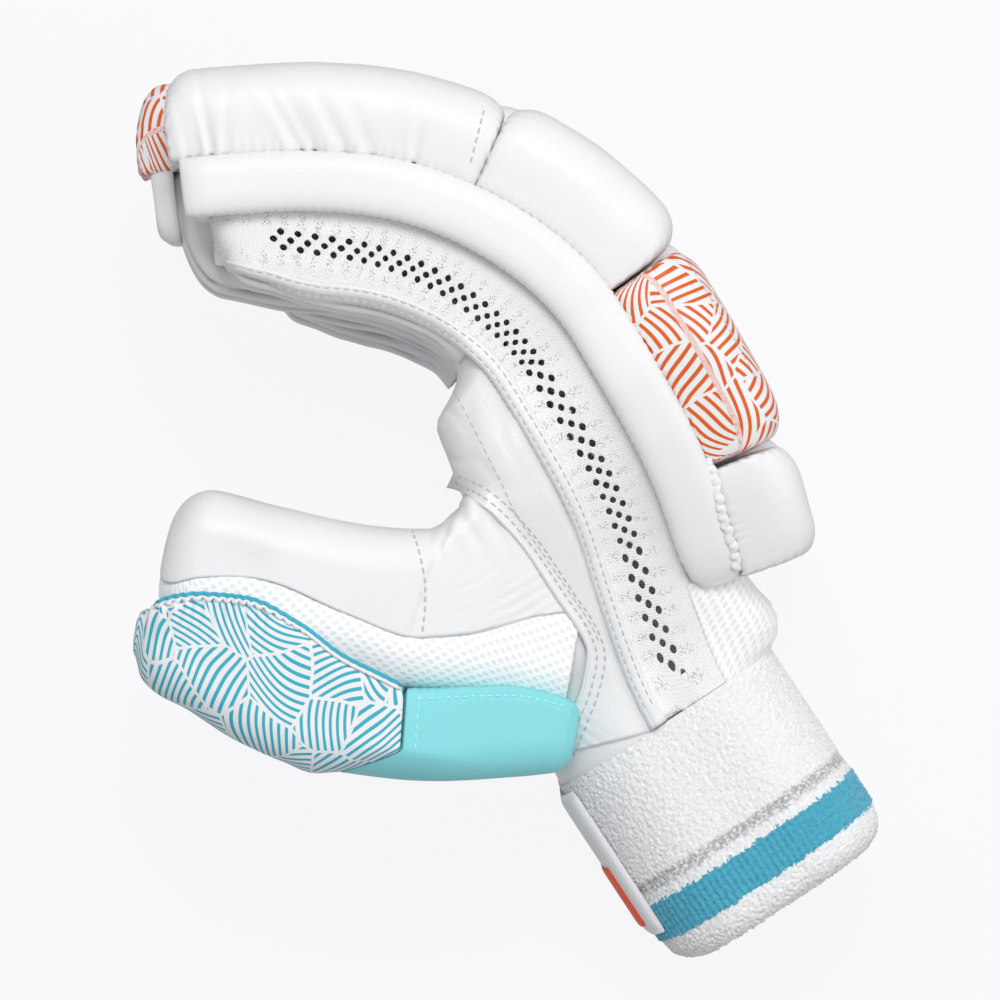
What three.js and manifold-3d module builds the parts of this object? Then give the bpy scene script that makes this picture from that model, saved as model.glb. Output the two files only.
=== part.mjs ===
// A right-hand cricket batting glove that lies on its little-finger side.
//
// Lengths are millimetres and +Z is up, from the little finger to the thumb side.
// +Y runs from the cuff to the fingers and +X points to the back of the hand.
// The back of the hand is one curve that bends with the fingers. A place on the glove is
// given by s, the distance along that curve from the top of the cuff, by n, the height over
// the curve, below zero inside the hand, and by z.

import * as THREE from 'three';
import { mergeVertices } from 'three/addons/utils/BufferGeometryUtils.js';
import Module from 'manifold-3d';

const wasm = await Module();
wasm.setup();

// Walls and clearances
const LEATHER = 1.6;
const GAP = 0.3;
const SEAM_INSET = 3;

// Towelling cuff
const CUFF_LENGTH = 66;
const CUFF_DEPTH = 75;
const CUFF_WIDTH = 86;
const CUFF_WALL = 4;
const CUFF_ROUND = 27;
const CUFF_LIP = 11;
const CUFF_PRESS = 1.5;

// Closing strap and its colour panels
const STRAP_WIDTH = 50;
const STRAP_SET_BACK = 3;
const STRAP_THICKNESS = 2.6;
const LABEL_LENGTH = 21;
const LABEL_SET_BACK = 25;
const LABEL_THICKNESS = 0.8;

// Hand and fingers
const PALM_LENGTH = 140;
const WEB_DEPTH = 56;
const FINGER_LENGTH = 247;
const FINGER_DEPTH = 45;
const FINGER_WIDTH = 27;
const FINGER_GAP = 0.8;
const FINGER_ROUND_BACK = 7;
const FINGER_ROUND_PALM = 11;
const HAND_ROUND_PALM = 17;
const TIP_ROUND = 12;

// Padding on the fingers
const ROLL_THICKNESS = 26;
const ROLL_END = 9;
const ROLL_END_INSET = 5;
const ROLL_OVERHANG = 6.5;
const SIDE_BAR_WIDTH = 17.5;
const SIDE_BAR_THICKNESS = 8.5;
const SIDE_BAR_DROP = 0.5;
const INDEX_BAR_START = 24.7;
const LITTLE_BAR_START = 34.6;
const TIP_GUARD = 5;
const GUARD_ROUND_PALM = 5;
const GUARD_ROUND_BACK = 2;
const BELLOWS_THICKNESS = 6.5;
const BELLOWS_LENGTH = 18;

// Knit strips along the outer fingers
const GUSSET_WIDTH = 20.5;
const GUSSET_START = 3;
const GUSSET_TIP = 15;
const GUSSET_MARGIN = 6.3;
const WINDOW_DEPTH = 5;
const HEM_WIDTH = 5.5;
const HEM_THICKNESS = 3;
const HEM_TIP = 7.5;
const HOLE_WIDTH = 2;
const HOLE_PITCH = 5.75;
const HOLE_ROW_STEP = 2.25;
const HOLE_STAGGER = 0.43;
const HOLE_SET_IN = 5;
const PUNCH_LENGTH = 14;

// Thumb
const THUMB_LENGTH = 128;
const THUMB_DEPTH = 44;
const THUMB_WIDTH = 36;
const THUMB_ROUND = 13;
const THUMB_TURN = 46.2;
const THUMB_ROOT_IN = 41;
const THUMB_ROOT_UP = 32;
const THUMB_ROOT_DROP = 5;
const THUMB_TIP_LIFT = 10;
const THUMB_PAD_DEPTH = 31;
const THUMB_PAD_EDGE = 4;
const THUMB_PAD_ROUND = 12;
const PAD_SPLIT_LEAN = 0.36;

// Turn of the back of the hand towards the palm, in degrees, along FINGER_LENGTH.
const BACK_TURNS = [
  { at: 0, turn: -6 },
  { at: 0.05, turn: -12.5 },
  { at: 0.17, turn: -16.5 },
  { at: 0.31, turn: -4 },
  { at: 0.44, turn: -1.4 },
  { at: 0.56, turn: 18.7 },
  { at: 0.69, turn: 34.8 },
  { at: 0.81, turn: 50.9 },
  { at: 0.93, turn: 60.6 },
  { at: 1.01, turn: 62.8 },
];

// How far the hand has grown from the cuff's section to the fingers', along PALM_LENGTH.
const HAND_SECTIONS = [
  { at: 0, spread: 0, flatten: 0, square: 0 },
  { at: 0.09, spread: 0.14, flatten: 0.05, square: 0.4 },
  { at: 0.18, spread: 0.3, flatten: 0.08, square: 0.7 },
  { at: 0.36, spread: 0.62, flatten: 0.18, square: 0.9 },
  { at: 0.54, spread: 0.88, flatten: 0.3, square: 1 },
  { at: 0.68, spread: 1, flatten: 0.44, square: 1 },
  { at: 0.87, spread: 1, flatten: 0.72, square: 1 },
  { at: 1, spread: 1, flatten: 1, square: 1 },
];

// Depth of a finger as a share of FINGER_DEPTH, along the finger's whole length.
const FINGER_SECTIONS = [
  { at: 0.58, depth: 1.04 },
  { at: 0.645, depth: 1 },
  { at: 0.72, depth: 1 },
  { at: 0.8, depth: 1 },
  { at: 0.87, depth: 0.97 },
  { at: 0.93, depth: 0.89 },
  { at: 1, depth: 0.78 },
];

// The rounding of a closed end: how far back, and how much of the section is left there.
const TIP_SECTIONS = [
  { back: 1, left: 1 },
  { back: 0.3, left: 0.88 },
  { back: 0, left: 0.64 },
];

// Fingers from the little finger up. Width, length and sink are shares of the named sizes,
// and blunt says how square the end of the tip roll is.
const FINGERS = [
  { name: 'little', wide: 0.93, long: 0.955, sink: 0.14, blunt: 0.6 },
  { name: 'ring', wide: 0.965, long: 0.99, sink: 0.05, blunt: 0.6 },
  { name: 'middle', wide: 1, long: 1.045, sink: 0, blunt: 0.55 },
  { name: 'index', wide: 1, long: 1, sink: 0, blunt: 1 },
];

// Rolls along a finger, from and to as shares of its length, high as a share of
// ROLL_THICKNESS. head and foot say how full the two ends are.
const ROLLS = [
  { name: 'wrist', from: 0.097, to: 0.226, high: 0.94, foot: 0.74, head: 0.8 },
  { name: 'knuckle', from: 0.235, to: 0.463, high: 0.98, foot: 0.74, head: 0.8 },
  { name: 'mid', from: 0.469, to: 0.669, high: 1.08, foot: 0.66, head: 0.8 },
  { name: 'tip', from: 0.673, to: 1.033, high: 1.01, foot: 0.82, head: 0.6 },
];

// Where the middle column of holes runs in the knit strip, along FINGER_LENGTH.
const HOLE_LINE = [
  { at: 0.04, across: 0.57 },
  { at: 0.3, across: 0.6 },
  { at: 0.53, across: 0.66 },
  { at: 0.7, across: 0.57 },
  { at: 0.9, across: 0.44 },
];

// The section of a roll, across its width and up to its height.
const ROLL_PROFILE = [
  { across: 0.02, high: 0 },
  { across: 0.98, high: 0 },
  { across: 1, high: 0.5 },
  { across: 0.94, high: 0.8 },
  { across: 0.77, high: 0.96 },
  { across: 0.5, high: 1 },
  { across: 0.23, high: 0.96 },
  { across: 0.06, high: 0.8 },
  { across: 0, high: 0.5 },
];

// The rounding of a roll's end, along ROLL_END.
const ROLL_ENDS = [
  { in: 0, full: 0 },
  { in: 0.3, full: 0.65 },
  { in: 1, full: 1 },
];

// The ends of a side bar along its length: how far they draw in as a share of
// SIDE_BAR_WIDTH, and their height as a share of SIDE_BAR_THICKNESS.
const BAR_SECTIONS = [
  { at: 0, in: 0.3, high: 0.4 },
  { at: 0.02, in: 0.14, high: 0.7 },
  { at: 0.06, in: 0.03, high: 0.95 },
  { at: 0.14, in: 0, high: 1 },
  { at: 0.97, in: 0, high: 1 },
  { at: 1, in: 0.03, high: 0.8 },
];

// Shares of a side bar's section: its corner radius to its height, and how its drawn-in end
// is parted between the palm side and the back.
const BAR_CORNER = 0.3;
const BAR_DRAW_PALM = 0.8;
const BAR_DRAW_BACK = 0.2;

// A fingertip's cap along TIP_GUARD, and how far it draws in there as a share of it.
const GUARD_SECTIONS = [
  { at: GAP / TIP_GUARD, in: 0 },
  { at: 0.5, in: 0.1 },
  { at: 1, in: 0.7 },
];
const GUARD_DEPTH = 0.78;
const GUARD_DRAW_BACK = 0.2;
const GUARD_DRAW_SIDE = 0.5;

// The hump behind the wrist along BELLOWS_LENGTH, as a share of BELLOWS_THICKNESS, and the
// part of the wrist's width that it takes up.
const BELLOWS_SECTIONS = [
  { at: 0.03, high: 0.25 },
  { at: 0.18, high: 0.75 },
  { at: 0.42, high: 1 },
  { at: 0.7, high: 0.95 },
  { at: 0.9, high: 0.6 },
  { at: 1, high: 0.2 },
];
const BELLOWS_LOW = 0.14;
const BELLOWS_HIGH = 0.86;
const BELLOWS_ARCH = 0.6;

// The cuff's lower end, along CUFF_LIP: how far the outside and the inside draw in.
const LIP_SECTIONS = [
  { at: 0, outside: 0, inside: 1 },
  { at: 0.45, outside: 0.2, inside: 1.2 },
  { at: 0.78, outside: 0.8, inside: 1.55 },
  { at: 1, outside: 1.9, inside: 2.2 },
];

// The thumb along THUMB_LENGTH: rise from the wrist's height to the index finger's, and
// as shares of half THUMB_DEPTH its leather side, its pad side and where the mesh begins,
// counted towards the pads. Near the root the leather side flares into the palm.
const THUMB_SECTIONS = [
  { at: 0, rise: 0, leather: 1, pads: 1, mesh: -0.4 },
  { at: 0.15, rise: 0.3, leather: 1.3, pads: 1, mesh: -0.15 },
  { at: 0.29, rise: 0.6, leather: 1.9, pads: 1.04, mesh: 0.22 },
  { at: 0.36, rise: 0.71, leather: 1.5, pads: 1.08, mesh: 0.33 },
  { at: 0.42, rise: 0.8, leather: 1.03, pads: 1.1, mesh: 0.4 },
  { at: 0.57, rise: 0.93, leather: 0.92, pads: 1.02, mesh: 0.24 },
  { at: 0.77, rise: 1, leather: 0.95, pads: 0.97, mesh: 0 },
  { at: 0.905, rise: 1, leather: 1, pads: 1, mesh: 0.12 },
  { at: 1, rise: 1, leather: 0.98, pads: 0.95, mesh: 0.42 },
];

// The pads' outline along THUMB_LENGTH: outer face as a share of THUMB_PAD_DEPTH, and the
// edge that laps over the thumb as a share of half THUMB_DEPTH. lean is how much of
// PAD_SPLIT_LEAN the section has, and side is the share of the lap over the thumb's sides.
const TIP_PAD_SECTIONS = [
  { at: 0.41, outer: 0.95, edge: 1.08, lean: 1, side: 0.9 },
  { at: 0.47, outer: 1, edge: 0.97, lean: 0.8, side: 1 },
  { at: 0.56, outer: 0.99, edge: 0.81, lean: 0.3, side: 1 },
  { at: 0.665, outer: 0.93, edge: 0.51, lean: 0, side: 1 },
  { at: 0.79, outer: 0.78, edge: 0.3, lean: 0, side: 1 },
  { at: 0.89, outer: 0.61, edge: 0.35, lean: 0, side: 1 },
  { at: 0.955, outer: 0.53, edge: 0.46, lean: 0, side: 0.9 },
  { at: 0.995, outer: 0.42, edge: 0.6, lean: 0, side: 0.6 },
  { at: 1.02, outer: 0.22, edge: 0.72, lean: 0, side: 0 },
];
const BASE_PAD_SECTIONS = [
  { at: 0.012, outer: 0.44, edge: 1.35, lean: 0, side: 0.4 },
  { at: 0.035, outer: 0.58, edge: 1.1, lean: 0, side: 0.8 },
  { at: 0.08, outer: 0.66, edge: 0.88, lean: 0, side: 1 },
  { at: 0.14, outer: 0.74, edge: 0.8, lean: 0, side: 1 },
  { at: 0.26, outer: 0.87, edge: 0.9, lean: 0.2, side: 1 },
  { at: 0.35, outer: 0.94, edge: 1.02, lean: 0.7, side: 1 },
  { at: 0.405, outer: 0.95, edge: 1.08, lean: 1, side: 0.9 },
];

const WHITE_LEATHER = { color: 0xeeeeef, roughness: 0.5, metalness: 0 };
const PALM_HIDE = { color: 0xe2e2e4, roughness: 0.62, metalness: 0 };
const WHITE_MESH = { color: 0xf0f0f1, roughness: 0.9, metalness: 0 };
const TOWELLING = { color: 0xececed, roughness: 1, metalness: 0 };
const ORANGE = { color: 0xde541e, roughness: 0.5, metalness: 0 };
const BLACK = { color: 0x141414, roughness: 0.5, metalness: 0 };
const CYAN = { color: 0x8dd9dd, roughness: 0.5, metalness: 0 };

// Steps of the curves, and lengths by which a cutting solid runs past what it cuts
const BACK_STEP = 1;
const TURN_EASE = 8;
const WEB_STEP = 4;
const SEAT = 1.5 * GAP;
const CUFF_STEPS = 7;
const CUFF_OVERRUN = 5;
const FINGER_OVERLAP = 8;
const SLAB_LOW = -20;
const SLAB_HIGH = 200;
const SLAB_BACK = 40;
const SLAB_OVERRUN = 10;
const SLAB_STATIONS = 12;

const { lerp, mapLinear, degToRad } = THREE.MathUtils;

// The value of one column of a table, between its rows.
function valueAt(table, column, at) {
  const last = table.length - 1;
  if (at <= table[0].at) {
    return table[0][column];
  }
  if (at >= table[last].at) {
    return table[last][column];
  }
  const next = table.findIndex((row) => row.at > at);
  const low = table[next - 1];
  const high = table[next];
  return mapLinear(at, low.at, high.at, low[column], high[column]);
}

// Points along the back of the hand, one each BACK_STEP.
function traceBack() {
  const places = [];
  let x = CUFF_DEPTH / 2;
  let y = 0;
  for (let s = 0; s < 1.3 * FINGER_LENGTH; s += BACK_STEP) {
    const turn = degToRad(valueAt(BACK_TURNS, 'turn', s / FINGER_LENGTH));
    places.push({ x, y, turn });
    x -= BACK_STEP * Math.sin(turn);
    y += BACK_STEP * Math.cos(turn);
  }
  return places;
}

const backPlaces = traceBack();

function backPlace(s) {
  if (s <= 0) {
    return { x: CUFF_DEPTH / 2, y: s, turn: 0 };
  }
  const index = Math.min(Math.floor(s / BACK_STEP), backPlaces.length - 2);
  const low = backPlaces[index];
  const high = backPlaces[index + 1];
  const share = s / BACK_STEP - index;
  // the first few millimetres turn out of the cuff's straight line
  const ease = Math.min(1, s / TURN_EASE);
  return {
    x: lerp(low.x, high.x, share),
    y: lerp(low.y, high.y, share),
    turn: ease * lerp(low.turn, high.turn, share),
  };
}

// A point of the hand or a finger.
function handPoint(s, n, z) {
  const place = backPlace(s);
  const x = place.x + n * Math.cos(place.turn);
  const y = place.y + n * Math.sin(place.turn);
  return new THREE.Vector3(x, y, z);
}

// A point of the thumb: t along it from its root, n towards its pads.
function thumbPoint(t, n, z) {
  const turn = degToRad(THUMB_TURN);
  const x = CUFF_DEPTH / 2 - THUMB_ROOT_IN - t * Math.sin(turn) - n * Math.cos(turn);
  const y = THUMB_ROOT_UP + t * Math.cos(turn) - n * Math.sin(turn);
  return new THREE.Vector3(x, y, z);
}

// Sections

// A section is a box across the curve, from palm to back in n and from low to high in z,
// with a corner radius at its palm side and one at its back.
function grow(box, by) {
  return {
    palm: box.palm - by,
    back: box.back + by,
    low: box.low - by,
    high: box.high + by,
    roundPalm: Math.max(0.5, box.roundPalm + by),
    roundBack: Math.max(0.5, box.roundBack + by),
  };
}

// The outline of a section, as n and z, from the back side up and round.
function boxRing(box, steps) {
  const room = 0.49 * Math.min(box.back - box.palm, box.high - box.low);
  const palm = Math.min(box.roundPalm, room);
  const back = Math.min(box.roundBack, room);
  const corners = [
    { n: box.back - back, z: box.high - back, round: back, from: 0 },
    { n: box.palm + palm, z: box.high - palm, round: palm, from: 90 },
    { n: box.palm + palm, z: box.low + palm, round: palm, from: 180 },
    { n: box.back - back, z: box.low + back, round: back, from: 270 },
  ];
  const ring = [];
  for (const corner of corners) {
    for (let step = 0; step < steps; step += 1) {
      const angle = degToRad(corner.from + (90 * step) / (steps - 1));
      const n = corner.n + corner.round * Math.cos(angle);
      const z = corner.z + corner.round * Math.sin(angle);
      ring.push({ n, z });
    }
  }
  return ring;
}

// Height of the upper wall of a section at n.
function wallHigh(box, n) {
  const palmIn = Math.max(0, box.palm + box.roundPalm - n);
  const backIn = Math.max(0, n - (box.back - box.roundBack));
  const round = palmIn > 0 ? box.roundPalm : box.roundBack;
  const over = Math.min(round, palmIn + backIn);
  return box.high - round + Math.sqrt(round * round - over * over);
}

// The fingers' places in z, from the surface that the glove lies on.
function fingerLanes() {
  const lanes = {};
  let low = SIDE_BAR_THICKNESS + GAP;
  for (const finger of FINGERS) {
    const high = low + FINGER_WIDTH * finger.wide;
    lanes[finger.name] = { low, high };
    low = high + FINGER_GAP;
  }
  return lanes;
}

const lanes = fingerLanes();
const wristHigh = CUFF_WIDTH - CUFF_PRESS;

function handBox(s) {
  const at = s / PALM_LENGTH;
  const spread = valueAt(HAND_SECTIONS, 'spread', at);
  const square = valueAt(HAND_SECTIONS, 'square', at);
  const depth = lerp(CUFF_DEPTH, WEB_DEPTH, valueAt(HAND_SECTIONS, 'flatten', at));
  return {
    palm: -depth,
    back: 0,
    low: spread * lanes.little.low,
    high: lerp(wristHigh, lanes.index.high, spread),
    roundPalm: lerp(CUFF_ROUND, HAND_ROUND_PALM, square),
    roundBack: lerp(CUFF_ROUND, FINGER_ROUND_BACK, square),
  };
}

// A finger's place in z at s, narrower towards the wrist as the hand is.
function laneAt(finger, s) {
  const box = handBox(s);
  const lane = lanes[finger.name];
  const from = lanes.little.low;
  const to = lanes.index.high;
  const low = mapLinear(lane.low, from, to, box.low, box.high);
  const high = mapLinear(lane.high, from, to, box.low, box.high);
  return { low, high };
}

function fingerReach(finger) {
  return FINGER_LENGTH * finger.long;
}

// How far a finger lies under the back of the hand, none of it on the hand itself.
function sinkAt(finger, s) {
  const share = THREE.MathUtils.smoothstep(s, 0.8 * PALM_LENGTH, PALM_LENGTH);
  return share * finger.sink * FINGER_DEPTH;
}

function fingerBox(finger, s) {
  const sink = finger.sink * FINGER_DEPTH;
  const depth = FINGER_DEPTH * valueAt(FINGER_SECTIONS, 'depth', s / fingerReach(finger));
  return {
    palm: -sink - depth,
    back: -sink,
    low: lanes[finger.name].low,
    high: lanes[finger.name].high,
    roundPalm: FINGER_ROUND_PALM,
    roundBack: FINGER_ROUND_BACK,
  };
}

// A section that has shrunk to a share of itself, with its back where it was.
function shrink(box, left) {
  const middle = (box.low + box.high) / 2;
  return {
    ...box,
    palm: lerp(box.back, box.palm, 0.25 + 0.75 * left),
    low: lerp(middle, box.low, left),
    high: lerp(middle, box.high, left),
  };
}

// Solids

// A closed skin over rings of points. Each ring runs round the same way.
function loft(rings) {
  const around = rings[0].length;
  const positions = [];
  const index = [];
  for (const ring of rings) {
    for (const point of ring) {
      positions.push(point.x, point.y, point.z);
    }
  }
  for (let row = 0; row + 1 < rings.length; row += 1) {
    for (let column = 0; column < around; column += 1) {
      const next = (column + 1) % around;
      const a = row * around + column;
      const b = row * around + next;
      const c = a + around;
      const d = b + around;
      index.push(a, d, b, a, c, d);
    }
  }
  const end = (rings.length - 1) * around;
  for (let column = 1; column + 1 < around; column += 1) {
    index.push(0, column, column + 1);
    index.push(end, end + column + 1, end + column);
  }
  const geometry = new THREE.BufferGeometry();
  geometry.setAttribute('position', new THREE.Float32BufferAttribute(positions, 3));
  geometry.setIndex(index);
  return geometry;
}

function toSolid(geometry) {
  const bare = geometry.clone();
  bare.deleteAttribute('normal');
  bare.deleteAttribute('uv');
  const merged = mergeVertices(bare, 1e-4);
  const vertProperties = new Float32Array(merged.attributes.position.array);
  const triVerts = new Uint32Array(merged.index.array);
  return new wasm.Manifold(new wasm.Mesh({ numProp: 3, vertProperties, triVerts }));
}

function toGeometry(solid) {
  const mesh = solid.getMesh();
  const geometry = new THREE.BufferGeometry();
  geometry.setAttribute('position', new THREE.BufferAttribute(mesh.vertProperties, 3));
  geometry.setIndex(new THREE.BufferAttribute(mesh.triVerts, 1));
  return geometry;
}

const glove = new THREE.Group();

function addPiece(name, shape, look) {
  const geometry = shape.isBufferGeometry ? shape : toGeometry(shape);
  geometry.computeVertexNormals();
  const mesh = new THREE.Mesh(geometry, new THREE.MeshStandardMaterial(look));
  mesh.name = name;
  glove.add(mesh);
}

function lerpList(from, to, count) {
  return Array.from({ length: count }, (_, i) => lerp(from, to, i / (count - 1)));
}

// The solid inside a row of sections of the hand.
function handSolid(by, from, to, steps = 4) {
  const stations = HAND_SECTIONS.map((row) => row.at * PALM_LENGTH);
  const inner = stations.filter((s) => s > from + 1 && s < to - 1);
  const rings = [from, ...inner, to].map((s) =>
    boxRing(grow(handBox(s), by), steps).map(({ n, z }) => handPoint(s, n, Math.max(z, 0))));
  return toSolid(loft(rings));
}

// The solid inside a finger, from s to its closed tip, grown by a distance.
function fingerSolid(finger, by, from) {
  const reach = fingerReach(finger);
  const stations = FINGER_SECTIONS.map((row) => row.at * reach);
  const straight = stations.filter((s) => s > from + 2 && s < reach - TIP_ROUND - 4);
  const rows = [from, ...straight].map((s) => ({ s, left: 1 }));
  for (const row of TIP_SECTIONS) {
    rows.push({ s: reach - row.back * TIP_ROUND, left: row.left });
  }
  const rings = rows.map(({ s, left }) => {
    const box = grow(shrink(fingerBox(finger, s), left), by);
    const place = left < 0.7 ? s + by : s;
    return boxRing(box, 3).map(({ n, z }) => handPoint(place, n, z));
  });
  return toSolid(loft(rings));
}

function thumbCentre(t) {
  const root = handBox(THUMB_ROOT_UP).high - THUMB_ROOT_DROP - THUMB_WIDTH / 2;
  const tip = lanes.index.high + THUMB_TIP_LIFT - THUMB_WIDTH / 2;
  return lerp(root, tip, valueAt(THUMB_SECTIONS, 'rise', t / THUMB_LENGTH));
}

function thumbSolid(by, from, steps = 4) {
  const stations = THUMB_SECTIONS.map((row) => row.at * THUMB_LENGTH);
  const straight = stations.filter((t) => t > from + 1 && t < THUMB_LENGTH - TIP_ROUND);
  const rows = [from, ...straight].map((t) => ({ t, left: 1 }));
  for (const row of TIP_SECTIONS) {
    rows.push({ t: THUMB_LENGTH - row.back * TIP_ROUND, left: row.left });
  }
  const rings = rows.map(({ t, left }) => {
    const half = left * THUMB_DEPTH / 2;
    const box = {
      palm: -half * valueAt(THUMB_SECTIONS, 'leather', t / THUMB_LENGTH),
      back: half * valueAt(THUMB_SECTIONS, 'pads', t / THUMB_LENGTH),
      low: thumbCentre(t) - left * THUMB_WIDTH / 2,
      high: thumbCentre(t) + left * THUMB_WIDTH / 2,
      roundPalm: THUMB_ROUND,
      roundBack: THUMB_ROUND,
    };
    const place = left < 0.7 ? t + by : t;
    return boxRing(grow(box, by), steps).map(({ n, z }) => thumbPoint(place, n, z)).reverse();
  });
  return toSolid(loft(rings));
}

// The stations where the sections of the hand and of one finger are given.
function stationsAlong(finger, from, to) {
  const hand = HAND_SECTIONS.map((row) => row.at * PALM_LENGTH);
  const reach = fingerReach(finger);
  const root = PALM_LENGTH + WEB_STEP;
  const tip = FINGER_SECTIONS.map((row) => row.at * reach).filter((s) => s > root + 1);
  const inner = [...hand, root, ...tip].filter((s) => s > from + 1 && s < to - 1);
  return [from, ...inner, to];
}

function wallBox(finger, s) {
  return s <= PALM_LENGTH ? handBox(s) : fingerBox(finger, s);
}

// A strip along the upper or lower wall of the hand and one finger. side is 1 for the
// upper wall and -1 for the lower one; near and far are n, low and high are heights over
// the wall.
function wallStrip(finger, side, from, to, shape) {
  const rings = stationsAlong(finger, from, to).map((s) => {
    const box = wallBox(finger, s);
    const { near, far, low, high } = shape(s);
    const middle = box.low + box.high;
    const over = (n, height) => {
      const z = wallHigh(box, n) + height;
      return { n, z: side > 0 ? z : middle - z };
    };
    const across = lerpList(far, near, 3);
    const ring = [
      ...across.map((n) => over(n, low)),
      ...across.reverse().map((n) => over(n, high)),
    ];
    return ring.map(({ n, z }) => handPoint(s, n, z));
  });
  if (side < 0) {
    rings.forEach((ring) => ring.reverse());
  }
  return toSolid(loft(rings));
}

const [little, , , index] = FINGERS;

// How far down the finger's side the knit strip reaches, less where the tip is slim.
function gussetFar(finger, s) {
  const box = fingerBox(finger, Math.max(s, PALM_LENGTH));
  const room = box.palm + GUSSET_MARGIN;
  return Math.max(-SIDE_BAR_WIDTH - GUSSET_WIDTH - sinkAt(finger, s), room);
}

function gussetStrip(finger, side, by, depth) {
  const shape = (s) => ({
    near: -SIDE_BAR_WIDTH - GAP - sinkAt(finger, s) + by,
    far: gussetFar(finger, s) - by,
    low: -LEATHER - depth,
    high: depth,
  });
  const end = fingerReach(finger) - GUSSET_TIP;
  return wallStrip(finger, side, GUSSET_START - by, end + by, shape);
}

// Three staggered columns of holes through the knit strip.
function gussetHoles() {
  let holes = null;
  for (let row = -1; row <= 1; row += 1) {
    const start = GUSSET_START + HOLE_SET_IN - row * HOLE_STAGGER * HOLE_PITCH;
    const end = FINGER_LENGTH - GUSSET_TIP - HOLE_SET_IN;
    for (let s = start; s < end; s += HOLE_PITCH) {
      const round = HOLE_WIDTH / 2;
      const punch = new THREE.CylinderGeometry(round, round, PUNCH_LENGTH, 4);
      punch.rotateX(Math.PI / 2);
      const across = valueAt(HOLE_LINE, 'across', s / FINGER_LENGTH);
      const n = lerp(-SIDE_BAR_WIDTH, gussetFar(index, s), across) + row * HOLE_ROW_STEP;
      const place = handPoint(s, n, wallHigh(wallBox(index, s), n));
      punch.translate(place.x, place.y, place.z);
      const hole = toSolid(punch);
      holes = holes ? holes.add(hole) : hole;
    }
  }
  return holes;
}

// A padded bar along an outer finger: flat inside, crowned outside, drawn in at its ends.
function sideBar(finger, side, from, to) {
  const run = to - from;
  const starts = BAR_SECTIONS.slice(0, 3).map((row) => from + row.at * run);
  const shoulder = from + BAR_SECTIONS[4].at * run;
  const along = stationsAlong(finger, starts[2] + 1, shoulder).slice(1);
  const rings = [...starts, ...along, to].map((s) => {
    const at = (s - from) / run;
    const near = -SIDE_BAR_DROP - sinkAt(finger, s);
    const box = wallBox(finger, Math.min(s, fingerReach(finger)));
    const draw = valueAt(BAR_SECTIONS, 'in', at) * SIDE_BAR_WIDTH;
    const high = valueAt(BAR_SECTIONS, 'high', at) * SIDE_BAR_THICKNESS;
    const palm = near + SIDE_BAR_DROP - SIDE_BAR_WIDTH + draw * BAR_DRAW_PALM;
    const back = near - draw * BAR_DRAW_BACK;
    const base = side > 0 ? box.high + SEAT : 0;
    const top = side > 0 ? box.high + high : box.low - SEAT;
    const round = BAR_CORNER * (side > 0 ? high : Math.min(high, top));
    const points = side > 0
      ? [
        { n: back, z: base },
        { n: back, z: top - round },
        { n: back - round, z: top },
        { n: palm + round, z: top },
        { n: palm, z: top - round },
        { n: palm, z: base },
      ]
      : [
        { n: back, z: base + round },
        { n: back, z: top },
        { n: palm, z: top },
        { n: palm, z: base + round },
        { n: palm + round, z: base },
        { n: back - round, z: base },
      ];
    return points.map(({ n, z }) => handPoint(s, n, z));
  });
  return toSolid(loft(rings)).subtract(handOuterGrown);
}

// A padded roll on the back of one finger.
function roll(finger, row) {
  const reach = fingerReach(finger);
  const from = row.from * reach;
  const to = row.to * reach;
  const high = row.high * ROLL_THICKNESS;
  const upper = finger.name === 'index' ? ROLL_OVERHANG : 0;
  const lower = finger.name === 'little' ? ROLL_OVERHANG : 0;
  const head = row.name === 'tip' ? row.head * finger.blunt : row.head;
  const starts = ROLL_ENDS.map((end) => ({
    s: from + end.in * ROLL_END, full: lerp(row.foot, 1, end.full),
  }));
  const stops = ROLL_ENDS.map((end) => ({
    s: to - end.in * ROLL_END, full: lerp(head, 1, end.full),
  })).reverse();
  const between = stationsAlong(finger, from + ROLL_END, to - ROLL_END).slice(1, -1);
  const rows = [...starts, ...between.map((s) => ({ s, full: 1 })), ...stops];
  const rings = rows.map(({ s, full }) => {
    const lane = laneAt(finger, s);
    const inset = (1 - full) * ROLL_END_INSET;
    const low = Math.max(lane.low - lower + inset, 0) + FINGER_GAP / 4;
    const wide = lane.high + upper - inset - FINGER_GAP / 4 - low;
    const base = GAP - (row.name === 'tip' ? sinkAt(finger, s) : 0);
    const top = high * full - 0.5 * sinkAt(finger, s);
    return ROLL_PROFILE
      .map((point) => handPoint(s, lerp(base, top, point.high), low + wide * point.across))
      .reverse();
  });
  return loft(rings);
}

// A cap over the end of one finger, under its roll.
function tipGuard(finger) {
  const reach = fingerReach(finger);
  const box = fingerBox(finger, reach);
  const rings = GUARD_SECTIONS.map((row) => {
    const draw = row.in * TIP_GUARD;
    const cap = {
      palm: box.back - GUARD_DEPTH * (box.back - box.palm) + draw,
      back: box.back - GAP - GUARD_DRAW_BACK * draw,
      low: box.low + GUARD_DRAW_SIDE * draw,
      high: box.high - GUARD_DRAW_SIDE * draw,
      roundPalm: GUARD_ROUND_PALM,
      roundBack: GUARD_ROUND_BACK,
    };
    const s = reach + row.at * TIP_GUARD;
    return boxRing(cap, 3).map(({ n, z }) => handPoint(s, n, z));
  });
  return loft(rings);
}

function cuffBox() {
  return {
    palm: -CUFF_DEPTH,
    back: 0,
    low: -CUFF_PRESS,
    high: wristHigh,
    roundPalm: CUFF_ROUND,
    roundBack: CUFF_ROUND,
  };
}

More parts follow.
